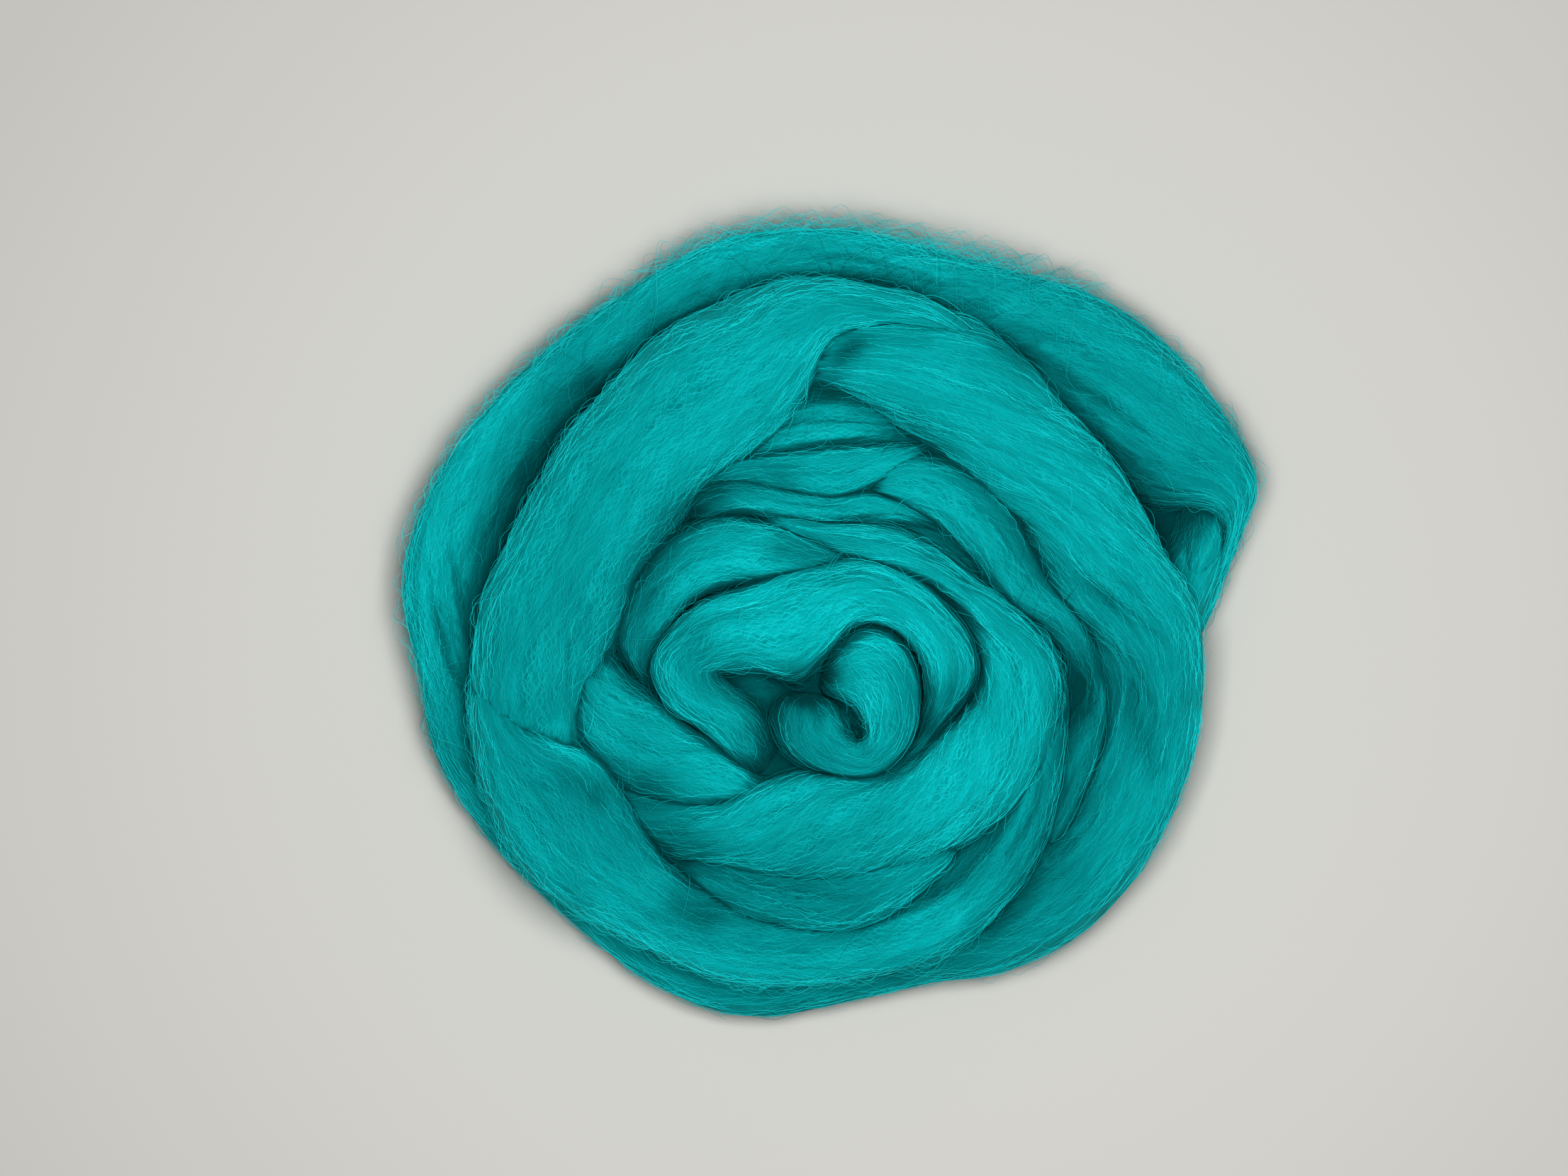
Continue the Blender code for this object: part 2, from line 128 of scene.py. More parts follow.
# %% Sections of every strand
STRANDS = {
    # It starts as a thin edge wrapped round the corner at the right. It widens over the top and runs
    # down the left, along the bottom and up the right side, to the twist at the top.
    "outer_turn": dict(belly=16, cap=7, rows=(
        (91, -7, 13, 94, -7, 13, 4),
        (94.5, 3, 13, 97.7, 3, 13, 5),
        (97.5, 11, 14, 101, 11, 13, 6),
        (99.5, 17, 15, 103.3, 17.5, 14, 7),
        (100.5, 22.5, 17, 105.5, 24, 15, 8),
        (97.5, 26.5, 19, 108, 32, 16, 10),
        (92, 28, 18, 106.5, 40, 16, 12),
        (84, 28, 15, 101.5, 49, 16, 13),
        (75, 31, 10, 93, 60.5, 16, 14),
        (62, 39, 5, 82, 71.5, 17, 14),
        (48, 47, 3, 67, 81, 17, 13),
        (32, 54, 3, 50, 87, 17, 13),
        (14, 58, 1, 28, 93, 18, 13),
        (-4, 60, -2, 2, 98.5, 18, 12),
        (-24, 57, -4, -26, 96, 18, 12),
        (-42, 48, -4, -52, 82.5, 18, 12),
        (-56, 32, -4, -80, 60, 18, 12),
        (-64, 14, -4, -99, 35, 18, 12),
        (-67, -4, -2, -107, 10, 18, 12),
        (-66, -22, 2, -103.5, -16, 17, 12),
        (-60, -38, 3, -99.5, -37, 14, 11),
        (-50, -50, 3, -84, -60, 12, 10),
        (-36, -58, 3, -60, -82, 11, 9),
        (-20, -63, 3, -38, -96, 11, 9),
        (-2, -64, 3, -18, -101, 11, 9),
        (14, -62, 3, 6, -97, 11, 9),
        (28, -60, 4, 25, -92.5, 11, 11),
        (40, -56, 8, 44, -89.5, 12, 13),
        (48, -52, 14, 64, -79.5, 14, 15),
        (54.5, -49, 10, 78, -64, 17, 15),
        (60, -42, 13, 87, -48, 19, 15),
        (66.5, -31, 16, 92.5, -30, 21, 15),
        (69.5, -19, 20, 94, -13, 24, 15),
        (66.5, -7, 24, 93, -1.5, 27, 15),
        (60, 1.5, 26, 89, 9.5, 29, 15),
        (55.5, 10, 29, 83, 20.5, 30, 15),
        (49, 22, 28, 76, 33, 31, 15),
        (39, 30.5, 28, 68, 44, 31, 14),
        (28, 40, 28, 58, 54, 30, 14),
        (17, 47, 28, 49.5, 64, 30, 14),
        (5, 55.5, 29, 39, 73, 30, 14),
        (-5, 60, 30, 25, 78.5, 30, 14),
        (-17, 63, 28, 10, 81, 28, 12),
    )),
    # The same strand past its twist: it passes over itself at the top and runs down the left side.
    "second_turn": dict(belly=20, cap=6, rows=(
        (50.5, 55, 22, 52.5, 57.3, 22, 5),
        (43, 62.5, 27, 45, 65.6, 27, 7),
        (35, 68.5, 30, 37, 72, 30, 10),
        (24, 71.5, 32, 26, 79, 31, 13),
        (11, 71.5, 32, 12, 82.8, 31, 15),
        (2, 68.5, 32, -2, 84.8, 31, 16),
        (-4, 59, 32, -13.5, 83.6, 31, 17),
        (-11, 48.5, 32, -26.4, 78.3, 31, 17),
        (-21, 39.5, 30, -42, 70.5, 31, 17),
        (-31, 31, 28, -55, 57.8, 31, 17),
        (-38.7, 19.7, 27, -67, 43.4, 31, 17),
        (-46.8, 10, 27, -78, 22.8, 31, 17),
        (-50, 1, 27, -86, 6.6, 31, 16),
        (-54.2, -9, 26, -89.6, -8, 31, 15),
        (-58.2, -19, 24, -89.8, -22, 30, 14),
        (-58.5, -31, 20, -88, -36, 28, 12),
        (-55, -41, 22, -82, -48, 24, 10),
    )),
    # It turns over at the lower left, runs along the bottom and up the right side.
    "third_turn": dict(belly=20, cap=7, rows=(
        (-83, -6, 22, -87.5, -7, 22, 6),
        (-83.5, -14, 27, -89.5, -16.8, 27, 9),
        (-81, -21, 29, -89.7, -26.6, 29, 12),
        (-75.5, -27, 28, -88.2, -36.3, 29, 15),
        (-67, -31, 26, -85.9, -45, 29, 16),
        (-58, -34, 26, -82.4, -53.2, 29, 16),
        (-51.2, -41.8, 25, -77.2, -61.4, 29, 15),
        (-45, -51.7, 25, -69, -70, 28, 15),
        (-39.5, -61, 24, -54.2, -77.8, 27, 14),
        (-31, -66.5, 21, -39.7, -85.4, 26, 13),
        (-17, -67, 16, -24, -91.5, 25, 12),
        (-2, -67, 14, -6.9, -91.9, 24, 12),
        (13, -64, 12, 10.9, -90, 24, 11),
        (26, -57, 11, 29, -85, 25, 11),
        (34, -48, 12, 44.2, -72.3, 26, 12),
        (39, -38, 16, 53.8, -58.2, 27, 13),
        (42, -28, 21, 58.5, -37, 27, 14),
        (43, -16, 22, 59.5, -20, 24, 13),
        (42, -4, 20, 58, -5, 20, 10),
    )),
    # It comes up from under the outer turn and fills the notch at the top, as a band that parts into
    # locks.
    "right_lock": dict(belly=20, cap=7, rows=(
        (49, -60, 14, 55, -63, 13, 7),
        (52, -54, 18, 59.5, -57, 17, 10),
        (55, -44, 20, 65, -46, 19, 11),
        (58, -31, 20, 71.5, -31, 20, 11),
        (61, -18, 13, 73, -16, 20, 11),
        (58, -8, 22, 69.5, -4, 25, 11),
        (52.5, -2, 26, 64, 4, 26, 12),
        (47, 1, 27, 59.5, 9, 25, 13),
        (41, 7, 28, 54.5, 17.5, 25, 14),
        (35, 16, 29, 47, 30, 25, 14),
        (26, 24.5, 29, 35, 39, 25, 13),
        (17, 28.5, 28, 21, 41.5, 28, 12),
        (8.5, 32, 27, 9.5, 36, 27, 10),
    )),
    "top_lock": dict(belly=18, cap=8, rows=(
        (38, 30, 20, 44, 39, 20, 8),
        (22, 41, 25, 27, 51, 21, 9),
        (10, 42, 27, 11, 57, 25, 10),
        (-4, 41, 27, -6, 59, 25, 10),
        (-18, 38, 26, -24, 52, 25, 10),
        (-30, 32, 24, -38, 42, 24, 8),
    )),
    "middle_lock": dict(belly=18, cap=7, rows=(
        (26, 38, 24, 29, 44, 24, 11),
        (14, 34, 27, 15, 44, 27, 12),
        (2, 30, 28, 2, 43.5, 28, 12),
        (-11, 32, 28, -12, 42, 28, 12),
        (-24, 33.5, 27, -26, 40, 27, 11),
        (-36, 30, 24, -38, 36, 24, 10),
    )),
    "lower_lock": dict(belly=18, cap=6, rows=(
        (33, 18, 20, 36, 21, 20, 8),
        (22, 22.5, 25, 23, 27.5, 25, 11),
        (11, 23, 28, 11, 32.5, 28, 11),
        (-1, 23, 28, -1, 31.5, 28, 11),
        (-12, 24.5, 28, -12, 34, 28, 11),
        (-24, 26.5, 28, -26, 36, 28, 11),
        (-35, 23, 25, -40, 32, 25, 10),
    )),
    # The low stretch that shows in the gap between the right lock and the inner turn.
    "sunk_lock": dict(belly=16, cap=8, rows=(
        (4, 18, 20, 6, 27, 20, 10),
        (18, 16, 21, 22, 26, 21, 10),
        (29, 9, 21, 36, 20, 21, 10),
        (36, -2, 21, 46, 8, 21, 10),
        (40, -12, 19, 52, -6, 19, 9),
    )),
    # The inner turn: down the left ...
    "left_lobe": dict(belly=20, cap=6, rows=(
        (10, 13, 24, 12, 15, 24, 8),
        (3, 13.2, 27, 5, 15.5, 27, 10),
        (-5, 11.5, 29, -2, 18, 29, 13),
        (-15, 10, 30, -13, 23.5, 26, 14),
        (-26, 8, 30, -29, 26.5, 25, 15),
        (-35, 3.5, 30, -43, 20, 24, 15),
        (-41, -4, 29, -51, 8, 24, 14),
        (-44.5, -11.5, 27, -54.5, -5, 24, 12),
        (-43.5, -17, 22, -50, -15, 22, 9),
        (-41, -24, 16, -47, -23, 16, 7),
    )),
    # ... under the lower left ...
    "lower_left_lobe": dict(belly=20, cap=6, rows=(
        (-59, -6, 24, -67, -12, 24, 7),
        (-51.5, -15.5, 28, -65, -27, 23, 12),
        (-43.5, -20.5, 29, -59, -39, 23, 13),
        (-36, -27.5, 29, -48, -46.5, 25, 13),
        (-28, -32.5, 29, -36, -49.5, 27, 13),
        (-20, -39, 27, -26, -50, 25, 12),
        (-10, -44, 22, -14, -54, 20, 9),
    )),
    # ... and round the bottom and the right to the top, where it thins out.
    "inner_turn": dict(belly=20, cap=6, rows=(
        (-58, -35, 19, -60, -46, 19, 8),
        (-47, -43, 26, -49, -55, 22, 11),
        (-38, -46, 28, -39, -60.5, 25, 13),
        (-28, -47, 29, -27, -62.5, 29, 15),
        (-17, -42.5, 30, -14, -66, 30, 16),
        (-5, -38.5, 31, 2, -66.5, 30, 17),
        (8, -40, 31, 18, -63, 30, 17),
        (20, -36, 31, 34, -56.5, 30, 17),
        (30, -28, 31, 48.5, -45, 30, 17),
        (37.5, -20, 31, 57, -29, 30, 16),
        (39, -10, 31, 58, -11, 30, 15),
        (34, 0, 30, 48, 2.5, 30, 14),
        (27, 7.5, 30, 38, 9, 30, 14),
        (17, 11.5, 30, 27, 17.5, 29, 13),
        (6, 14, 29, 14, 23, 28, 13),
        (-6, 19, 28, -3, 24.5, 28, 12),
        (-18, 25, 26, -18, 27, 26, 10),
    )),
    # A short fold of the third turn that is squeezed out under the inner turn.
    "bottom_fold": dict(belly=18, cap=6, rows=(
        (-40, -56, 20, -44, -62, 20, 8),
        (-26, -58, 26, -29, -72.5, 25, 11),
        (-12, -60, 27, -13, -77.5, 26, 12),
        (3, -60, 27, 4, -79, 26, 12),
        (17, -57, 27, 19, -72, 26, 12),
        (30, -51, 24, 34, -59.5, 24, 11),
    )),
    # The heart of the winding: a wide curl round the middle ...
    "wide_curl": dict(belly=22, cap=6, rows=(
        (7, -41, 20, 12, -46, 20, 7),
        (16, -36, 25, 20.5, -39, 25, 11),
        (22, -30.5, 25, 27.5, -30, 25, 12),
        (24.5, -22, 29, 36, -20.5, 28, 15),
        (24, -13, 30, 38.5, -11, 31, 16),
        (19.5, -6, 31, 33.5, -1, 32, 17),
        (13, -2, 31, 24, 9, 32, 17),
        (6, -2.5, 31, 9, 14.5, 32, 17),
        (-1, -10, 31, -6, 13, 32, 17),
        (-8, -15.5, 31, -19.6, 8.2, 32, 17),
        (-17, -13.5, 31, -31.4, 4.3, 32, 16),
        (-24, -13.5, 31, -39.5, -3, 32, 16),
        (-28, -14, 31, -45, -12, 31, 16),
        (-25.5, -18, 30, -41, -22, 30, 15),
        (-18, -23, 27, -31.5, -29, 29, 13),
        (-14, -29, 24, -25, -36, 26, 12),
        (-11.5, -36, 19, -19, -42.5, 19, 9),
    )),
    # ... and the end of the roving, curled round a small hole (walked clockwise).
    "centre_curl": dict(belly=22, cap=5, rows=(
        (-3, -17.5, 23, -0.5, -9, 23, 8),
        (1, -19, 29, 1.8, -6.3, 28, 11),
        (4.5, -20.5, 32, 8, -2.3, 31, 14),
        (7.5, -22.5, 34, 15.5, -3.5, 33, 15),
        (9, -25, 34, 20.7, -9.9, 33, 16),
        (9.8, -27.5, 34, 22.8, -17.9, 33, 16),
        (9.8, -29.7, 34, 22, -26.7, 33, 16),
        (9, -31, 33, 18.6, -33.6, 32, 16),
        (7, -31.5, 31, 12.5, -39.5, 31, 14),
        (5.5, -30.5, 30, 3.5, -39.8, 31, 13),
        (4.5, -28.5, 29, -5, -37, 31, 12),
        (4, -26, 28, -11.5, -31.5, 30, 12),
        (3, -23, 26, -13.7, -24.5, 28, 11),
        (0, -19.5, 23, -11.5, -18.5, 24, 9),
    )),
    "sunk_curl": dict(belly=14, cap=6, rows=(
        (-28, -22, 18, -29, -14, 18, 7),
        (-21, -24, 21, -22, -12, 21, 9),
        (-14, -26, 20, -13, -15, 20, 9),
        (-8, -27, 16, -5, -17, 16, 7),
    )),
    # The start of the roving comes up the right side and folds back over into the outer turn.
    "fold_back": dict(belly=15, cap=7, rows=(
        (75, -18, 14, 91.5, -20, 14, 11),
        (77, -4, 14, 93, -5, 14, 12),
        (80, 6, 14, 97.5, 6, 14, 11),
        (85, 14, 13, 101, 14, 13, 10),
        (89, 22, 12, 104, 22, 12, 9),
        (90, 31, 11, 105, 33, 11, 8),
    )),
    "curled_edge": dict(belly=16, cap=6, rows=(
        (84, 1, 14, 91, 0, 13, 8),
        (88, 9, 14, 96, 9, 13, 10),
        (90, 16, 14, 99.5, 16, 13, 11),
        (91, 23, 12, 101.5, 23, 12, 11),
        (91.5, 31, 10, 101, 33, 10, 8),
    )),
    # Turns that lie hidden under the ones above.
    "lower_coil_outer": dict(belly=16, cap=16, rows=(
        (30, 34, 13, 50, 60, 13, 12),
        (0, 42, 13, 2, 68, 13, 12),
        (-32, 32, 13, -50, 52, 13, 12),
        (-44, 0, 13, -72, 4, 13, 12),
        (-34, -30, 13, -54, -52, 13, 12),
        (0, -44, 13, 2, -72, 13, 12),
        (34, -32, 13, 58, -54, 13, 12),
        (48, -2, 13, 80, -6, 13, 12),
        (52, 22, 9, 93, 24, 4, 5),
        (38, 40, 13, 64, 58, 13, 12),
    )),
    "lower_coil_inner": dict(belly=16, cap=14, rows=(
        (10, 22, 13, 20, 46, 13, 12),
        (-10, 20, 13, -20, 46, 13, 12),
        (-22, -2, 13, -50, 0, 13, 12),
        (-12, -22, 13, -30, -46, 13, 12),
        (10, -24, 13, 18, -52, 13, 12),
        (24, -6, 13, 52, -14, 13, 12),
        (22, 12, 13, 50, 24, 13, 12),
        (14, 22, 13, 36, 44, 13, 12),
    )),
    "lower_coil_heart": dict(belly=16, cap=12, rows=(
        (-26, 24, 13, -26, -30, 13, 9),
        (-8, 28, 13, -8, -36, 13, 10),
        (14, 30, 13, 14, -38, 13, 11),
        (34, 26, 13, 34, -32, 13, 10),
    )),
}
visible = [name for name in STRANDS if not name.startswith("lower_coil")]
print(len(STRANDS), "strands,", sum(len(strand["rows"]) for strand in STRANDS.values()), "sections")

# %% [markdown]
# ## A smooth skin through the sections
# Numpy works on whole tables at once, so a strand is held as one grid of points: a row of it for each
# section, and a column for each place round the section. The grid's points are closer together over
# the crown, which shows, than under the belly, which doesn't.

# %% From a table to a grid of points
INNER, OUTER, CROWN = slice(0, 3), slice(3, 6), slice(6, 7)     # what the columns of a row hold
SECTION_FULLNESS = 0.85         # 1 is an ellipse, less is squarer
CROWN_CROWDING = 0.45           # 0 spreads the points evenly round a section
FINE = 16                       # steps between two rows when a length is measured
FEWEST_ROWS = 5                 # in the grid of the shortest strand
FINE_STEP, FINE_SIDES = 1.9, 66         # grid of a strand that shows
COARSE_STEP, COARSE_SIDES = 5.0, 24     # grid of one that lies hidden
LAP = 0.7                       # soft strands press this far into each other at their edges
UP = np.array((0.0, 0.0, 1.0))
TINY = 1e-9                     # keeps a division from meeting a zero


def smooth_through(rows, places):
    """The smooth curve through the rows of a table, at places counted in rows."""
    rows = np.asarray(rows, float)
    longer = np.vstack([2 * rows[0] - rows[1], rows, 2 * rows[-1] - rows[-2]])
    i = np.clip(places.astype(int), 0, len(rows) - 2)
    u = (places - i)[:, None]
    before, start, end, after = (longer[i + k] for k in range(4))
    return ((2 * u**3 - 3 * u**2 + 1) * start + (u**3 - 2 * u**2 + u) * (end - before) / 2
            + (3 * u**2 - 2 * u**3) * end + (u**3 - u**2) * (after - start) / 2)


def running_length(points):
    """How far along the line each of its points lies."""
    steps = np.linalg.norm(np.diff(points, axis=0), axis=-1)
    return np.concatenate([np.zeros_like(steps[:1]), np.cumsum(steps, axis=0)])


def squared(value):
    """A cosine or sine that gives a slightly squarer section than an ellipse."""
    return np.sign(value) * np.abs(value) ** SECTION_FULLNESS


def angles_round(sides):
    """Angles from the underside, up the outer edge, over the crown and back under."""
    share = np.linspace(0, 1, sides + 1)
    return -math.pi / 2 + 2 * math.pi * share + CROWN_CROWDING * np.sin(2 * math.pi * share)


def wrapped(strand, step, sides):
    """The strand's grid of points, the distance along it of each row, and its size there."""
    rows = strand["rows"]
    fine = np.linspace(0, len(rows) - 1, FINE * (len(rows) - 1) + 1)
    sections = smooth_through(rows, fine)
    travelled = running_length((sections[:, INNER] + sections[:, OUTER]) / 2)
    along = np.linspace(0, travelled[-1], max(FEWEST_ROWS, round(travelled[-1] / step)))
    sections = smooth_through(rows, np.interp(along, travelled, fine))

    near_end = np.minimum(along, along[-1] - along) / strand["cap"]
    size = np.sqrt(1 - (1 - np.clip(near_end, 0, 1)) ** 2)
    angles = angles_round(sides)
    across = squared(np.cos(angles)) * size[:, None]
    rise = squared(np.sin(angles)) * size[:, None]
    rise = rise * np.where(rise > 0, sections[:, CROWN], strand["belly"])
    inner, outer = sections[:, None, INNER], sections[:, None, OUTER]
    outwards = (outer - inner) / np.linalg.norm(outer - inner, axis=-1, keepdims=True)
    inner = inner - LAP * outwards
    # The outer edges of these two stand against the table or a dark gap, so they stay as they are.
    if strand not in (STRANDS["outer_turn"], STRANDS["second_turn"]):
        outer = outer + LAP * outwards
    points = (inner + outer) / 2 + (outer - inner) / 2 * across[..., None] + UP * rise[..., None]
    return points, along, size


def outward(points):
    """The direction in which the skin faces at every point of the grid."""
    down_the_strand = np.gradient(points, axis=0)
    round_it = np.gradient(points, axis=1)
    round_it[:, 0] = round_it[:, -1] = points[:, 1] - points[:, -2]
    facing = np.cross(round_it, down_the_strand)
    facing /= np.maximum(np.linalg.norm(facing, axis=-1, keepdims=True), TINY)
    middle = points[:, :-1].mean(axis=1, keepdims=True)
    if (facing * (points - middle)).sum() < 0:
        facing = -facing
    return facing


points, along = wrapped(STRANDS["outer_turn"], COARSE_STEP, COARSE_SIDES)[:2]
print("outer turn:", round(along[-1]), "mm long,", points.shape[:2], "points")

# %% [markdown]
# ## Ridges and creases
# The fibres of roving gather in soft lengthwise locks, so a strand's skin is never quite smooth. Long
# narrow hills of noise, laid along the strand, make these. Where a strand is bent or squeezed it
# creases, and no noise puts a crease in the right place. So the creases are listed one by one: each is
# a short route in plan, pressed into the strand that it crosses.

# %% Soft noise that follows a strand
NOISE_PERIOD = 97
RIDGES = (                      # width across, length along, height; widest first
    (9.0, 70.0, 0.80),
    (4.0, 42.0, 0.60),
    (2.2, 26.0, 0.30),
)
RIDGE_WANDER = 5.0              # how far a ridge strays sideways ...
WANDER_PATCH = (30.0, 55.0)     # ... and the width and length over which it does


def smooth_noise(x, y, seed):
    """Soft random hills between -1 and 1, one unit apart in x and y."""
    hills = np.random.default_rng(seed).uniform(-1, 1, (NOISE_PERIOD, NOISE_PERIOD))
    i, j = np.floor(x).astype(int), np.floor(y).astype(int)
    u, v = x - i, y - j
    u, v = u * u * (3 - 2 * u), v * v * (3 - 2 * v)

    def hill(a, b):
        return hills[(i + a) % NOISE_PERIOD, (j + b) % NOISE_PERIOD]

    near = hill(0, 0) * (1 - u) + hill(1, 0) * u
    far = hill(0, 1) * (1 - u) + hill(1, 1) * u
    return near * (1 - v) + far * v


def ridge_height(around, along, seed):
    """How high the ridges stand at places round and along a strand."""
    width, length = WANDER_PATCH
    strayed = around + RIDGE_WANDER * smooth_noise(around / width, along / length, seed)
    return sum(height * smooth_noise(strayed / width, along / length, seed + k)
               for k, (width, length, height) in enumerate(RIDGES, start=1))


# %% Creases listed one by one
# Each crease: the strand, the half width and depth of the furrow, and its route in plan.
CREASES = (
    ("outer_turn", 1.6, 1.6, ((-97, 26), (-99, 12), (-97, -2), (-94, -16))),
    ("outer_turn", 1.3, 1.2, ((-92, 34), (-95, 20), (-93, 6))),
    ("outer_turn", 1.5, 1.4, ((-100, -26), (-97, -36), (-90, -48))),
    ("outer_turn", 1.8, 1.6, ((44, 74), (62, 68), (80, 63), (97, 52))),
    ("outer_turn", 1.5, 1.4, ((66, 66), (82, 58), (98, 46))),
    ("outer_turn", 1.3, 1.2, ((72, 73), (86, 67), (99, 55))),
    ("outer_turn", 1.3, 1.0, ((80, 46), (92, 41), (103, 36))),
    ("outer_turn", 1.6, 1.5, ((44, 44), (54, 26), (64, 9), (74, 0))),
    ("outer_turn", 1.5, 1.3, ((64, 30), (72, 16), (80, 5), (87, -2))),
    ("outer_turn", 1.8, 3.4, ((61, 11), (67, 6), (74, 0.5), (83, -7), (89, -14))),
    ("outer_turn", 1.5, 1.6, ((72, 10), (80, 3), (86, -4))),
    ("outer_turn", 2.8, 4.0, ((69, -6), (75, -14), (79, -23), (84, -33))),
    ("outer_turn", 1.5, 1.6, ((77, -22), (79, -34), (80, -46))),
    ("outer_turn", 1.5, 1.3, ((84, -10), (87, -26), (84, -42))),
    ("outer_turn", 1.4, 1.2, ((-30, 84), (-10, 90), (14, 88), (34, 80))),
    ("second_turn", 1.5, 0.9, ((-18, 74), (-36, 60), (-52, 44))),
    ("second_turn", 1.5, 0.9, ((-30, 52), (-44, 40), (-56, 22))),
    ("second_turn", 1.3, 1.0, ((-77, 10), (-76, 0), (-74, -10))),
    ("second_turn", 1.4, 0.9, ((-62, 12), (-64, -2), (-64, -18))),
    ("second_turn", 1.4, 1.2, ((12, 80), (24, 76), (38, 70))),
    ("third_turn", 1.7, 1.6, ((-62, -38), (-57, -45), (-50, -53))),
    ("third_turn", 1.6, 1.2, ((-84, -36), (-76, -52), (-63, -66))),
    ("third_turn", 1.6, 1.4, ((-34, -78), (-18, -83), (4, -84), (22, -78))),
    ("third_turn", 1.5, 1.5, ((-24, -71), (-8, -74), (8, -73), (24, -67))),
    ("third_turn", 1.5, 1.4, ((42, -62), (50, -50), (55, -36))),
    ("right_lock", 1.4, 1.5, ((64, -52), (70, -40), (72, -26))),
    ("right_lock", 1.4, 1.3, ((70, -14), (66, -2), (58, 8))),
    ("right_lock", 1.4, 1.2, ((50, 10), (44, 22), (34, 32))),
    ("top_lock", 1.3, 0.9, ((-10, 42), (2, 43), (14, 45), (28, 47))),
    ("top_lock", 1.2, 1.2, ((-20, 46), (-6, 50), (8, 50), (22, 47))),
    ("middle_lock", 1.1, 1.2, ((-16, 36), (-2, 37), (14, 39))),
    ("lower_lock", 1.1, 1.1, ((-22, 30), (-6, 29), (10, 28), (22, 25))),
    ("left_lobe", 1.4, 1.1, ((-48, 2), (-40, 12), (-26, 18), (-10, 17))),
    ("lower_left_lobe", 1.5, 1.4, ((-54, -30), (-45, -35), (-36, -36))),
    ("inner_turn", 1.5, 1.5, ((-30, -54), (-16, -48), (0, -42))),
    ("inner_turn", 1.5, 1.4, ((-8, -62), (4, -56), (18, -46))),
    ("inner_turn", 1.6, 1.6, ((14, -62), (30, -54), (46, -42))),
    ("inner_turn", 1.4, 1.2, ((46, -36), (51, -22), (51, -8))),
    ("inner_turn", 1.4, 1.2, ((40, -28), (45, -16), (44, -4))),
    ("bottom_fold", 1.3, 1.8, ((-24, -66), (-10, -70), (6, -72))),
    ("bottom_fold", 1.2, 1.4, ((4, -66), (16, -66), (28, -60))),
    ("bottom_fold", 1.1, 1.5, ((-6, -63), (-8.5, -70), (-8, -77))),
    ("bottom_fold", 1.1, 1.4, ((-30, -62), (-22, -68), (-10, -74), (2, -76))),
    ("wide_curl", 1.5, 1.8, ((4, 4), (12, 8), (21, 7), (29, 0))),
    ("wide_curl", 1.4, 1.4, ((22, -1), (27, -5), (30, -13))),
    ("wide_curl", 1.5, 1.1, ((-34, -2), (-22, 4), (-8, 6))),
    ("centre_curl", 1.2, 1.3, ((4, -10), (12, -11), (18, -17), (19, -25))),
    ("centre_curl", 1.1, 1.0, ((7, -6), (15, -8), (21, -16))),
    ("centre_curl", 1.1, 1.0, ((12, -34), (3, -35), (-6, -31))),
)


ROUTE_STEPS = 8                 # steps between two points of a route
CREASE_FADE = 0.7               # less keeps a crease deep for longer before it ends
TOP_BIAS = 0.5                  # less presses a crease further down a strand's side


def press(points, facing, route, half_width, depth):
    """Press one crease into the side of a strand that faces up."""
    route = np.asarray(route, float)
    places = np.linspace(0, len(route) - 1, ROUTE_STEPS * (len(route) - 1) + 1)
    course = smooth_through(route, places)
    plan = points[..., :2]
    nearest = np.full(plan.shape[:-1], np.inf)
    share = np.zeros(plan.shape[:-1])
    for k, (start, end) in enumerate(zip(course, course[1:])):
        run = end - start
        part = np.clip((plan - start) @ run / (run @ run), 0, 1)
        distance = np.linalg.norm(plan - start - part[..., None] * run, axis=-1)
        closer = distance < nearest
        nearest = np.where(closer, distance, nearest)
        share = np.where(closer, (k + part) / (len(course) - 1), share)
    furrow = np.exp(-((nearest / half_width) ** 2)) * np.sin(np.pi * share) ** CREASE_FADE
    upward = np.clip(facing[..., 2:3], 0, 1) ** TOP_BIAS
    return points - facing * upward * (depth * furrow)[..., None]


print(len(CREASES), "creases on", len({crease[0] for crease in CREASES}), "strands")

# %% Shape every strand
FLOOR_GAP = 0.2                 # the flat underside is this far above the floor
RIDGE_SEED = 11                 # random seed of the first strand's ridges

# How fibres slant across a strand: places along it as shares of its length, and at each the distance
# that a fibre moves towards the inner edge for every millimetre it runs.
SLANTS = {
    "outer_turn": ((0.0, 0.55), (0.04, 0.5), (0.09, 0.1), (0.79, 0.05), (0.85, 0.4), (1.0, 0.55)),
    "inner_turn": ((0.0, 0.35), (0.5, 0.35), (1.0, 0.1)),
    "third_turn": ((0.0, -0.15), (0.3, 0.0), (1.0, 0.0)),
    "lower_left_lobe": ((0.0, 0.25), (1.0, 0.25)),
}
STRAIGHT = ((0.0, 0.0), (1.0, 0.0))


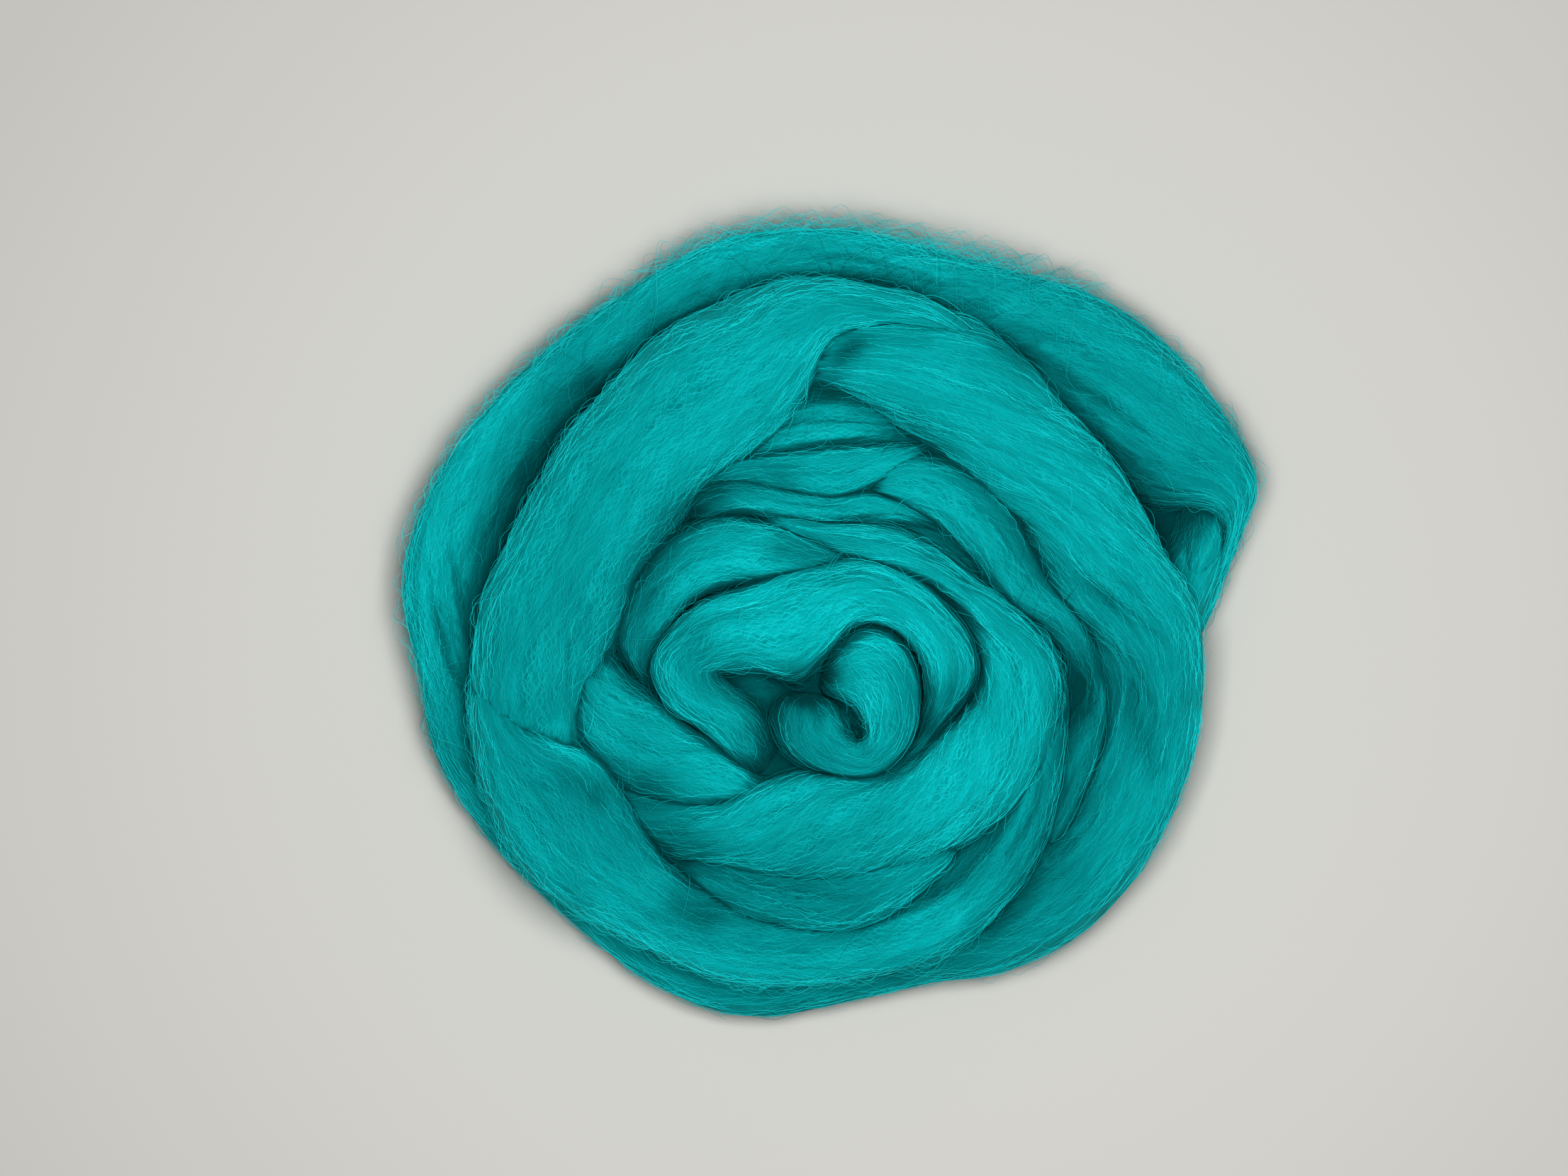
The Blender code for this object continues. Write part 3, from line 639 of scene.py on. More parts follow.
def shaped(name, seed):
    """A strand's finished grid of points, with what a fibre needs to follow it."""
    strand = STRANDS[name]
    fine = name in visible
    points, along, size = wrapped(strand, FINE_STEP if fine else COARSE_STEP,
                                  FINE_SIDES if fine else COARSE_SIDES)
    around = running_length(points.swapaxes(0, 1)).mean(axis=1)
    facing = outward(points)
    shares, slants = zip(*SLANTS.get(name, STRAIGHT))
    slant = np.interp(along / along[-1], shares, slants)
    drift = np.concatenate([[0], np.cumsum((slant[1:] + slant[:-1]) / 2 * np.diff(along))])
    lane = around - drift[:, None]
    points = points + facing * (ridge_height(lane, along[:, None], seed) * size[:, None])[..., None]
    for owner, half_width, depth, route in CREASES:
        if owner == name:
            points = press(points, facing, route, half_width, depth)
    points[:, -1] = points[:, 0]
    points[..., 2] = np.maximum(points[..., 2], FLOOR_GAP)
    return dict(name=name, points=points, facing=outward(points), along=along, around=around,
                slant=slant, drift=drift, size=size)


surfaces = {name: shaped(name, seed) for seed, name in enumerate(STRANDS, start=RIDGE_SEED)}
print("grid points:", sum(surface["size"].size * surface["around"].size
                          for surface in surfaces.values()))

# %% [markdown]
# ## A small kit for materials
# A shader is easier to read as arithmetic than as a web of nodes. Value wraps a socket, and adding or
# multiplying Values puts the Math nodes in. Recipe owns one material, and its node method makes every
# other kind of node.

# %% Values and recipes
# Sockets that are called by their place in the node, because some share one name.
MIX_SHARE, MIX_FIRST, MIX_SECOND, MIX_COLOUR = 0, 6, 7, 2
ATTRIBUTE_NUMBER = 2


class Value:
    """A number that varies over a surface. Arithmetic on it adds Math nodes."""

    def __init__(self, recipe, socket):
        self.recipe = recipe
        self.socket = socket

    def maths(self, operation, *numbers):
        settings = {"operation": operation}
        return self.recipe.value("ShaderNodeMath", settings, dict(enumerate(numbers)))

    def __add__(self, other):
        return self.maths("ADD", self, other)

    def __radd__(self, other):
        return self.maths("ADD", other, self)

    def __sub__(self, other):
        return self.maths("SUBTRACT", self, other)

    def __rsub__(self, other):
        return self.maths("SUBTRACT", other, self)

    def __mul__(self, other):
        return self.maths("MULTIPLY", self, other)

    def __rmul__(self, other):
        return self.maths("MULTIPLY", other, self)

    def __truediv__(self, other):
        return self.maths("DIVIDE", self, other)

    def wave(self):
        return self.maths("SINE", self)

    def size(self):
        return self.maths("ABSOLUTE", self)

    def whole(self):
        return self.maths("FLOOR", self)

    def at_least(self, other):
        return self.maths("MAXIMUM", self, other)

    def at_most(self, other):
        return self.maths("MINIMUM", self, other)


class Recipe:
    """One material and the nodes in it."""

    def __init__(self, name):
        self.material = bpy.data.materials.new(name)
        self.material.use_nodes = True
        self.tree = self.material.node_tree
        self.shader = self.tree.nodes["Principled BSDF"]

    def feed(self, socket, given):
        if isinstance(given, Value):
            given = given.socket
        if isinstance(given, bpy.types.NodeSocket):
            self.tree.links.new(given, socket)
        else:
            socket.default_value = given

    def node(self, kind, settings=None, inputs=None):
        made = self.tree.nodes.new(kind)
        for name, setting in (settings or {}).items():
            setattr(made, name, setting)
        for name, given in (inputs or {}).items():
            self.feed(made.inputs[name], given)
        return made

    def value(self, kind, settings=None, inputs=None, output=0):
        return Value(self, self.node(kind, settings, inputs).outputs[output])

    def attribute(self, name):
        return self.value("ShaderNodeAttribute", {"attribute_name": name}, output=ATTRIBUTE_NUMBER)

    def axes_of(self, vector):
        parts = self.node("ShaderNodeSeparateXYZ", {}, {0: vector}).outputs
        return [Value(self, part) for part in parts]

    def noise(self, x, y, z, detail=0.0):
        place = self.node("ShaderNodeCombineXYZ", {}, {0: x, 1: y, 2: z})
        wanted = {"Vector": place.outputs[0], "Scale": 1.0, "Detail": detail}
        return self.value("ShaderNodeTexNoise", {"noise_dimensions": "3D"}, wanted)

    def colour_between(self, share, first, second):
        settings = {"data_type": "RGBA", "clamp_factor": True}
        inputs = {MIX_SHARE: share, MIX_FIRST: first, MIX_SECOND: second}
        return self.node("ShaderNodeMix", settings, inputs).outputs[MIX_COLOUR]

    def finish(self, **sockets):
        for name, given in sockets.items():
            self.feed(self.shader.inputs[name.replace("_", " ")], given)


# %% [markdown]
# ## The look of combed wool
# From a step away wool is a fine web of pale fibres over a darker ground. The fibres run along the
# strand, stray a little to either side, and are crimped into small waves. The material makes that web
# from stretched noise: a sine bends it into the crimp, and two more sets of lines lean left and right
# across it. The pattern follows the strands, so it reads a UV map that holds millimetres round and
# along the strand. A faint teal sheen gives the bloom of loose fibres at the edges.

# %% Wool skin
UV_NAME = "fibre_run"
CRIMP_LENGTH = 3.3              # one wave of a crimped fibre
CRIMP_SIZE = 0.16
DEEP_TEAL = (0.0, 0.27, 0.28, 1.0)
BODY_TEAL = (0.0, 0.52, 0.53, 1.0)
PALE_TEAL = (0.01, 0.88, 0.9, 1.0)
SHEEN_TEAL = (0.03, 0.9, 0.92, 1.0)
# Near black that shade is painted with, deep in the gaps.
PAINTED_SHADE_TEAL = (0.0, 0.045, 0.048, 1.0)

WEB = (
    # lean of the fibres, space between them, how long they show, brightness
    dict(lean=0.02, space=0.62, shows=9.0, light=0.75),
    dict(lean=-0.11, space=0.71, shows=7.0, light=0.85),
    dict(lean=0.14, space=0.78, shows=7.0, light=0.9),
    dict(lean=0.33, space=0.95, shows=5.0, light=1.0),
    dict(lean=-0.36, space=1.05, shows=5.0, light=1.0),
)
FIBRE_HALF = 0.13               # half the width of a fibre in the web
OWN_CRIMP, OWN_GAPS, OWN_LANE = 60.0, 90.0, 3.7     # how unlike two fibres are in crimp and gaps
HIDDEN, FADE = 0.42, 5.0        # noise under this hides a fibre, and how sharply its ends show
# Painted light: the wool's tone is painted paler high up and a little paler to the north.
PAINTED_LIGHT_TONE, PAINTED_LIGHT_NORTH, PAINTED_LIGHT_UP = 0.51, 1.2, 7.5     # the wool's tone: at the origin, and gained per metre
PALEST = 0.98

# Noise in the skin, each with the width and length of its patches.
STRAY_PATCH, STRAY = (7.0, 24.0), 5.0           # how far the lanes stray
CRIMP_PATCH, CRIMP_SPREAD = (1.6, 12.0), 14.0   # how unlike the crimp of neighbours is
FINE_PATCH, FINE_CONTRAST, FINE_RELIEF = (0.28, 8.0), 2.0, 0.5
LOCK_PATCH, LOCK_CONTRAST, LOCK_RELIEF = (1.8, 30.0), 1.2, 0.9
SOFT_PATCHES, SOFT_CONTRAST = 38.0, 0.4         # wide soft patches, their number for each metre
WEB_SHOWS = 0.8                 # how much of the web's pale colour shows
BUMP_HEIGHT = 0.25
# Painted shade: how much of the tone the skin and the fibres keep from their openness.
SKIN_LIT, SKIN_GAP = 1.35, 0.1  # how fast open skin gets its full tone, and what is left in a gap
FIBRE_LIT, FIBRE_GAP = 1.2, 0.16
FIBRE_TONE, FIBRE_PALE = 0.7, 0.34      # how far a fibre follows the tone, and how much paler it is


def fibre_set(recipe, across, along, number, lean, space, shows, light):
    """Crimped fibres side by side, each in a lane of its own, with its own crimp and its own gaps."""
    lanes = (across + along * lean) / space
    lane = lanes.whole()
    chance = recipe.node("ShaderNodeCombineXYZ", {}, {0: lane, 1: float(number)}).outputs[0]
    own = recipe.value("ShaderNodeTexWhiteNoise", {"noise_dimensions": "3D"}, {"Vector": chance})
    crimp = (along * (2 * math.pi / CRIMP_LENGTH) + own * OWN_CRIMP).wave() * (CRIMP_SIZE / space)
    beside = (lanes - lane - 0.5 + crimp).size() * (space / FIBRE_HALF)
    seen = recipe.noise(lane * OWN_LANE, along / shows + own * OWN_GAPS, float(number))
    seen = ((seen - HIDDEN) * FADE).at_least(0.0).at_most(1.0)
    return (1 - beside).at_least(0.0) * seen * light


def painted_light_and_shade_of_place(recipe):
    """Painted light and shade by place: the wool's tone painted much paler high up than low down and a
    little paler to the north, times the painted routes.
    """
    _, north, height = recipe.axes_of(recipe.node("ShaderNodeTexCoord").outputs["Object"])
    return (north * PAINTED_LIGHT_NORTH + height * PAINTED_LIGHT_UP + PAINTED_LIGHT_TONE).at_most(PALEST) * recipe.attribute("shade")


def wool_skin():
    """The mass of the wool: a web of pale fibres over a darker ground, with shade painted in to make it
    darker still in the gaps, and light and shade painted on by place.
    """
    recipe = Recipe("combed_wool")
    across, along, _ = recipe.axes_of(recipe.node("ShaderNodeUVMap", {"uv_map": UV_NAME}).outputs[0])
    across, along = across / MM, along / MM

    def patches_of(size, side, layer, detail=0.0):
        width, length = size
        return recipe.noise(side / width, along / length, layer, detail)

    lane = across + (patches_of(STRAY_PATCH, across, 2.0) - 0.5) * STRAY
    phase = patches_of(CRIMP_PATCH, across, 1.0) * CRIMP_SPREAD
    crimp = (along * (2 * math.pi / CRIMP_LENGTH) + phase).wave() * CRIMP_SIZE
    fine = patches_of(FINE_PATCH, lane + crimp, 3.0, detail=1.0)
    locks = patches_of(LOCK_PATCH, lane, 4.0, detail=1.0)
    web = 0.0
    for number, fibres in enumerate(WEB, start=5):
        web = fibre_set(recipe, lane, along, number, **fibres).at_least(web)

    light = recipe.attribute("openness")
    place = recipe.node("ShaderNodeTexCoord").outputs["Object"]
    wanted = {"Vector": place, "Scale": SOFT_PATCHES, "Detail": 2.0}
    soft = recipe.value("ShaderNodeTexNoise", {}, wanted)

    ground = (fine - 0.5) * FINE_CONTRAST + (locks - 0.5) * LOCK_CONTRAST
    ground = ground + (soft - 0.5) * SOFT_CONTRAST + 0.5
    colour = recipe.colour_between(ground, DEEP_TEAL, BODY_TEAL)
    colour = recipe.colour_between(web * WEB_SHOWS, colour, PALE_TEAL)
    # Painted shade in the gaps, from openness, and painted light and shade by place.
    open_air = (light * light * SKIN_LIT + SKIN_GAP).at_most(1.0) * painted_light_and_shade_of_place(recipe)
    colour = recipe.colour_between(open_air, PAINTED_SHADE_TEAL, colour)
    relief = fine * FINE_RELIEF + locks * LOCK_RELIEF + web
    wanted = {"Strength": 0.7, "Distance": BUMP_HEIGHT * MM, "Height": relief}
    bump = recipe.node("ShaderNodeBump", {}, wanted)
    recipe.finish(Base_Color=colour, Roughness=0.92 - web * 0.15, Normal=bump.outputs[0])
    recipe.finish(Specular_IOR_Level=0.12, Specular_Tint=SHEEN_TEAL)
    recipe.finish(Sheen_Weight=0.12, Sheen_Roughness=0.45, Sheen_Tint=SHEEN_TEAL)
    return recipe.material


def wool_thread():
    """A single fibre: paler than the mass it lies on, and no two quite alike, with shade painted in the
    gaps and light and shade painted on by place.
    """
    recipe = Recipe("single_wool_fibres")
    tone, light = recipe.attribute("tone"), recipe.attribute("openness")
    colour = recipe.colour_between(tone, BODY_TEAL, PALE_TEAL)
    # Painted shade in the gaps and painted light and shade by place, as on the skin.
    open_air = (light * light * FIBRE_LIT + FIBRE_GAP).at_most(1.0)
    open_air = open_air * (painted_light_and_shade_of_place(recipe) * FIBRE_TONE + FIBRE_PALE)
    colour = recipe.colour_between(open_air, PAINTED_SHADE_TEAL, colour)
    recipe.finish(Base_Color=colour, Roughness=0.75 - tone * 0.2)
    recipe.finish(Specular_IOR_Level=0.2, Specular_Tint=SHEEN_TEAL)
    return recipe.material


combed_wool = wool_skin()
single_fibres = wool_thread()
print("nodes:", len(combed_wool.node_tree.nodes), "in the skin,", len(single_fibres.node_tree.nodes),
      "in a fibre")

# %% [markdown]
# ## Wrap a mesh round each strand
# A strand could be drawn as a curve with a bevel, but its section changes too much along the way. So
# it starts as a flat bmesh grid, made with UVs. Every vertex of the grid moves to its place in the
# strand's grid of points. Then the doubles are merged, which closes the seam under the strand and the
# round ends.

# %% Wrap and close
SEAM_GAP = 0.001
UV_SHIFT = 0.9                  # metres between the patterns of one strand and the next


def skin(surface, number):
    """One strand's closed mesh, with a UV map in metres round it and along it."""
    points = placed(surface["points"])
    rows, columns = points.shape[0] - 1, points.shape[1] - 1
    shape = bmesh.new()
    shape.loops.layers.uv.new(UV_NAME)
    bmesh.ops.create_grid(shape, x_segments=columns, y_segments=rows, size=1, calc_uvs=True)
    for vert in shape.verts:
        column = round((vert.co.x + 1) / 2 * columns)
        row = round((vert.co.y + 1) / 2 * rows)
        vert.co = points[row, column]
    bmesh.ops.remove_doubles(shape, verts=shape.verts, dist=SEAM_GAP * MM)
    bmesh.ops.recalc_face_normals(shape, faces=shape.faces)
    mesh = bpy.data.meshes.new(surface["name"])
    shape.to_mesh(mesh)
    shape.free()

    layer = mesh.uv_layers[UV_NAME]
    flat = np.empty(2 * len(layer.data))
    layer.data.foreach_get("uv", flat)
    share = flat.reshape(-1, 2)
    round_it = np.interp(share[:, 0] * columns, np.arange(columns + 1), surface["around"])
    down_it = np.interp(share[:, 1] * rows, np.arange(rows + 1), surface["along"])
    lane = round_it - np.interp(down_it, surface["along"], surface["drift"])
    flat = np.stack([lane * MM, down_it * MM + number * UV_SHIFT], axis=1).ravel()
    layer.data.foreach_set("uv", flat)
    mesh.shade_smooth()
    mesh.materials.append(combed_wool)
    return put_in_scene(surface["name"], mesh)


strands = [skin(surface, number) for number, surface in enumerate(surfaces.values())]
skin_triangles = sum(hand_over(strand) for strand in strands)
print(len(strands), "strands,", skin_triangles, "triangles")

# %% [markdown]
# ## Where the wool shows, and how open it lies
# Two things depend on what surrounds a point of the skin. Fibres are only worth making where they can
# be seen, and deep between two strands wool looks nearly black, because light that goes in there is
# swallowed. A BVH tree answers both: it finds what a ray hits. Rays fan out from every vertex of the
# strands that show, and later from the middle of every fibre. The share of them that gets away is that
# point's openness. It goes on the mesh as an attribute. The material paints the gaps dark with it, on
# top of the shadow that falls in them.

# %% Openness of every point
COVERED_WITHIN = 1.0            # another strand this near covers the skin
SKIN_CLEARANCE = 0.3            # rays start this far above a skin or a fibre
REACH = 28.0                    # a strand further off than this takes no light away
TABLE_NEAR = 9.0                # a ray that meets the table closer than this brings no light either
# Rays of the fan: degrees away from the way a point faces, and degrees round it.
FAN = ((0, 0), (35, 20), (35, 140), (35, 260), (65, 80), (65, 200), (65, 320), (60, 0), (60, 180))


NEARLY_UP = (0.02, 0.03, 1.0)   # a little off, so that a skin that faces up isn't parallel to it


def tree_of(pieces):
    """One tree of all the pieces, to cast rays at."""
    together = bmesh.new()
    for piece in pieces:
        together.from_mesh(piece.data)
    tree = BVHTree.FromBMesh(together)
    together.free()
    return tree


def fan_of(facings):
    """Directions that fan out round the way each point faces, as an array of rays x points x 3."""
    side = np.cross(facings, NEARLY_UP)
    side /= np.maximum(np.linalg.norm(side, axis=-1, keepdims=True), TINY)
    other = np.cross(facings, side)
    rays = []
    for lean, turn in np.radians(FAN):
        sideways = math.cos(turn) * side + math.sin(turn) * other
        rays.append(math.cos(lean) * facings + math.sin(lean) * sideways)
    return np.stack(rays)


def openness(points, facings):
    """For each point in the scene, the share of rays that get away from it."""
    starts = points + SKIN_CLEARANCE * MM * facings
    free = np.zeros(len(starts))
    for fan in fan_of(facings):
        clear = starts[:, 2] + fan[:, 2] * TABLE_NEAR * MM > 0
        for k in np.flatnonzero(clear):
            if wool_tree.ray_cast(starts[k], fan[k], REACH * MM)[0] is None:
                free[k] += 1 / len(FAN)
    return free


# Painted light and shade. These routes paint shade into dips and gaps and paint light onto crowns and
# rims, where the shapes and the lamp alone don't make the wool dark or pale enough. They are tuned, and
# they stay put when the light moves. Each row: the share of tone gained, how far to either side, and
# the route in plan.
PAINTED_LIGHT_AND_SHADE_ROUTES = (
    (-0.38, 9, ((68, -20), (65, -35), (56, -62))),
    (-0.15, 7, ((83, -8), (84, -26))),
    (-0.26, 12, ((-68, -42), (-55, -57))),
    (-0.24, 8, ((-52, -42), (-45, -52), (-38, -62))),
    (-0.26, 7, ((-42, -43), (-33, -55), (-22, -64))),
    (-0.14, 10, ((-84, -10), (-81, -34))),
    (-0.20, 6, ((-10, 14), (4, 14))),
    (-0.15, 7, ((86, 36), (96, 38))),
    (-0.25, 7, ((-46, 10), (-36, 22))),
    (-0.26, 10, ((-22, -72), (-8, -72), (6, -75))),
    (-0.50, 4.5, ((-37, -71), (-30, -74))),
    (0.25, 4, ((-41, -65), (-31, -68))),
    (-0.38, 6, ((-36, -5), (-31, -15))),
    (-0.40, 5, ((17, -15), (19, -20), (17, -28))),
    (-0.15, 5, ((30, -12), (28, -22))),
    (-0.25, 5, ((2, -36), (12, -37))),
    (-0.20, 10, ((-6, -58), (14, -55))),
    (-0.08, 11, ((-12, 45), (18, 46))),
    (0.12, 4, ((-17, 43), (-4, 44), (10, 45))),
    (-0.15, 8, ((44, 28), (55, 14))),
    (-0.35, 4, ((21, 46), (31, 38), (40, 29), (49, 20), (55, 12))),
    (-0.18, 6, ((58, 10), (66, -7))),
    (-0.18, 16, ((-74, -2), (-70, 22), (-56, 44), (-36, 62))),
    (-0.16, 14, ((-8, 78), (12, 80))),
    (-0.50, 5, ((-78, 36), (-70, 50), (-61, 59))),
    (-0.25, 4, ((-61, 59), (-42, 74))),
    (0.12, 8, ((-54, -24), (-46, -31))),
    (-0.10, 12, ((38, 74), (80, 52))),
    (-0.85, 5, ((-9, -17), (-5, -18))),
    (-0.30, 4, ((-12, -25), (-12, -32))),
    (-0.14, 8, ((74, 6), (82, -2))),
    (-0.15, 5, ((-4, 22), (6, 22))),
    (-0.20, 5, ((-40, -56), (-30, -64))),
    (-0.45, 6, ((-50, -14), (-46, 6), (-40, 22), (-28, 32), (-12, 35))),
    (-0.35, 6, ((-50, -31), (-46, -42))),
    (-0.18, 8, ((30, -72), (46, -72))),
    (-0.25, 5, ((8, 51), (20, 50), (29, 43))),
    (-0.30, 6, ((-17, -27), (-10, -33))),
    (-0.22, 9, ((46, 12), (56, 2))),
    (-0.20, 2.5, ((-56, -82), (-43, -88), (-31, -93))),
    (-0.20, 3, ((12, -90), (27, -86))),
    (0.16, 8, ((-52, 68), (-42, 78))),
    (0.14, 9, ((76, -58), (84, -46))),
    (0.16, 6, ((99, 10), (98, 16))),
    (0.14, 9, ((-52, -72), (-44, -68))),
    (0.18, 11, ((24, -50), (38, -40))),
    (0.16, 10, ((-14, 4), (-2, 4))),
    (0.15, 6, ((-22, -45), (-10, -41))),
    (0.34, 8, ((-103, -10), (-101, 12), (-97, 34), (-87, 53))),
    (0.25, 6, ((-90, 50), (-78, 66))),
    (0.16, 8, ((2, -8), (14, -14), (8, -22))),
    (0.20, 9, ((-26, 92), (0, 95), (24, 90))),
    (0.14, 7, ((102, 38), (105, 26))),
    (0.25, 8, ((22, -73), (34, -68))),
    (0.30, 7, ((-58, -84), (-40, -93), (-20, -99))),
    (0.14, 6, ((91, -28), (88, -42))),
    (0.90, 3.5, ((3, -22), (6, -25))),
    (0.38, 3.5, ((-57, -77), (-48, -81), (-30, -87), (-11, -91), (6, -87), (21, -83), (32, -77))),
    (0.15, 6, ((58, 58), (66, 50))),
    (-0.50, 4, ((0, 59), (3, 65), (6, 68))),
    (-0.28, 2.5, ((4, 66), (12, 70), (24, 71))),
    (-0.35, 4, ((-12, 17), (-2, 15))),
    (-0.30, 3.5, ((26, 17), (36, 8))),
    (0.28, 3.5, ((42, 8), (54, 0), (64, -8))),
    (-0.38, 3.5, ((67, -3), (71, -10), (77, -24), (82, -38))),
    (-0.40, 3.5, ((43, 68), (49, 64))),
    (-0.22, 3, ((-45, 74), (-33, 82), (-2, 87), (13, 84.5), (24, 82))),
    (0.50, 4, ((-52, -12), (-55, -14))),
    (0.60, 4, ((-67, -30), (-63, -32))),
    (-0.17, 7, ((-54, 34), (-60, 20), (-63, 4), (-61, -14), (-76, -26))),
    (-0.25, 4, ((-66, -40), (-58, -45))),
    (-0.40, 3.5, ((-34, 25), (-27, 32))),
    (-0.25, 4, ((-14, -24), (-20, -30))),
    (0.28, 4, ((-92, -46), (-80, -64), (-58, -84))),
    (0.25, 4, ((95, -10), (94, -32))),
    (0.50, 3.5, ((0, -10), (6, -4), (15, -2), (23, -7), (27, -15))),
    (0.26, 3, ((13, 11), (28, 7), (37, -3), (41, -12))),
    (0.22, 3, ((-42, -2), (-36, 4), (-25, 9), (-12, 12))),
    (0.28, 3, ((-37, -28), (-28, -34), (-17, -41))),
    (-0.40, 4, ((29, -17), (33, -22))),
    (0.45, 3.5, ((35, -27), (30, -32), (25, -36))),
    (-0.26, 4, ((-45, -18), (-46, -23))),
    (0.22, 4, ((-51, -32), (-47, -36))),
    (0.28, 4, ((86, 19), (95, 5), (98, -2))),
    (-0.26, 3.5, ((59, -26), (57, -42), (53, -60), (42, -80), (34, -87))),
    (-0.35, 4, ((60, -17), (60, -22))),
    (-0.28, 5, ((-24, -12), (-20, -16))),
    (0.20, 4, ((-18, -37), (-14, -38))),
    (-0.26, 5, ((-5, -27), (-2, -34))),
    (0.22, 4, ((24, -74), (31, -72))),
    (-0.24, 5, ((-45, -75), (-34, -77))),
    (-0.20, 4, ((-30, -95), (-12, -97))),
    (-0.18, 4, ((-20, -67), (4, -69), (24, -66))),
)


def painted_light_and_shade_at(points):
    """The painted light and shade of the routes: what the wool's tone is multiplied by at these points
    in the scene.
    """
    plan = points[:, :2] / MM + NEST_CENTRE
    shade = np.ones(len(points))
    for gain, reach, route in PAINTED_LIGHT_AND_SHADE_ROUTES:
        course = smooth_through(route, np.linspace(0, len(route) - 1, ROUTE_STEPS * len(route)))
        away = np.min([np.linalg.norm(plan - spot, axis=-1) for spot in course], axis=0)
        shade += gain * np.exp(-((away / reach) ** 2))
    return shade


def store(mesh, name, values):
    """Put one number on every vertex, as an attribute."""
    mesh.attributes.new(name, "FLOAT", "POINT").data.foreach_set("value", values)


def column(vertices, field):
    """The places or the normals of all vertices, as one table."""
    flat = np.empty(3 * len(vertices))
    vertices.foreach_get(field, flat)
    return flat.reshape(-1, 3)


wool_tree = tree_of(strands)
for strand in strands:
    vertices = strand.data.vertices
    # Painted light and shade of the routes, on every vertex.
    store(strand.data, "shade", painted_light_and_shade_at(column(vertices, "co")))
    if strand.name in visible:
        store(strand.data, "openness", openness(column(vertices, "co"), column(vertices, "normal")))
    else:
        store(strand.data, "openness", np.zeros(len(vertices)))
print("rays from every point:", len(FAN))


def shows(point, facing):
    """Whether a point a little above the skin is in the open."""
    start = Vector(placed(point))
    way = Vector(facing)
    hit, normal, _, distance = wool_tree.ray_cast(start, way)
    if hit is None:
        return True
    return normal.dot(way) < 0 and distance > COVERED_WITHIN * MM


def on_skin(surface, along, around, height):
    """Points at a height over a strand's skin, at distances along and round it, and its facing."""
    rows = np.interp(along, surface["along"], np.arange(len(surface["along"])))
    columns = np.interp(around, surface["around"], np.arange(len(surface["around"])))
    i = np.minimum(rows.astype(int), len(surface["along"]) - 2)
    j = np.minimum(columns.astype(int), len(surface["around"]) - 2)
    u, v = (rows - i)[..., None], (columns - j)[..., None]

    def between(table):
        near = table[i, j] * (1 - u) + table[i + 1, j] * u
        far = table[i, j + 1] * (1 - u) + table[i + 1, j + 1] * u
        return near * (1 - v) + far * v

    facing = between(surface["facing"])
    return between(surface["points"]) + facing * height[..., None], facing


# %% [markdown]
# ## Fibres that lie in the skin
# A fibre is a line first: points along the strand, straying a little to one side, with its crimp as a
# small sine wave. Both ends are tucked just under the skin. The lines become one Curve object whose
# bevel is a triangle, so every fibre is a closed tube of three sides that tapers to its ends. That is
# round enough for something a tenth or two of a millimetre thick, and it keeps the triangles few.

# %% Lines for the fibres
TUCK = 0.12                     # how far the ends go under the skin
UPPER_SIDES = (0.1, 0.9)        # fibres lie between these shares of the way round from the seam
CRIMP_RANGE = (0.85, 1.25)      # crimps of single fibres, as shares of the usual length
BOW = 0.5                       # how far a fibre bows to a side
ARCH = 0.6                      # less makes a fibre leave the skin more steeply
END_TEST = 5                    # a fibre is also tested a fifth of its length from either end


def fibre_lines(surface, rng, per_100, points, length, lean, lift, crimp):
    """Lines of fibres over one strand, as an array of fibres x points x 3, where they show."""
    total, girth = surface["along"][-1], surface["around"][-1]
    count = round(per_100 * total * girth / 100)
    span = rng.uniform(*length, (count, 1))
    start = rng.uniform(0, 1, (count, 1)) * (total - span)
    side = rng.uniform(*UPPER_SIDES, (count, 1)) * girth
    leaning = rng.normal(0, lean, (count, 1)) + np.interp(start, surface["along"], surface["slant"])
    phase = rng.uniform(0, 2 * math.pi, (count, 1))
    wave_length = rng.uniform(*CRIMP_RANGE, (count, 1)) * CRIMP_LENGTH
    bow = rng.normal(0, BOW, (count, 1))
    top = lift[0] + (lift[1] - lift[0]) * rng.uniform(0, 1, (count, 1)) ** 3

    share = np.linspace(0, 1, points)
    run = span * share
    swing = crimp * np.sin(2 * math.pi * run / wave_length + phase)
    around = side + leaning * run + swing + bow * np.sin(math.pi * share)
    height = (top + TUCK) * np.sin(math.pi * share) ** ARCH - TUCK
    lines, facing = on_skin(surface, start + run, around, height)
    tests = (points // END_TEST, points // 2, points - 1 - points // END_TEST)
    open_air = [all(shows(line[k] + SKIN_CLEARANCE * way[k], way[k]) for k in tests)
                for line, way in zip(lines, facing)]
    return lines[open_air], facing[open_air]


# %% Tubes for the lines
THREAD_SIDES = 3
STEEPEST = 1e-6                 # keeps a division safe where a line runs straight up


def triangle_profile():
    """The section that every fibre is drawn with: a triangle one metre in radius."""
    data = bpy.data.curves.new("fibre_section", "CURVE")
    data.dimensions = "2D"
    corners = data.splines.new("POLY")
    corners.points.add(THREAD_SIDES - 1)
    for k, corner in enumerate(corners.points):
        turn = math.pi / 2 + 2 * math.pi * k / THREAD_SIDES
        corner.co = (math.cos(turn), math.sin(turn), 0, 1)
    corners.use_cyclic_u = True
    return bpy.data.objects.new("fibre_section", data)


fibre_section = triangle_profile()


def tilts(lines, facings):
    """How far to turn a triangle round each line, for a corner of it to face out with the skin."""
    ahead = np.gradient(lines, axis=1)
    ahead /= np.linalg.norm(ahead, axis=-1, keepdims=True)
    upright = UP - ahead[..., 2:3] * ahead
    upright /= np.maximum(np.linalg.norm(upright, axis=-1, keepdims=True), STEEPEST)
    sideways = np.cross(ahead, upright)
    return np.arctan2((facings * sideways).sum(-1), (facings * upright).sum(-1))


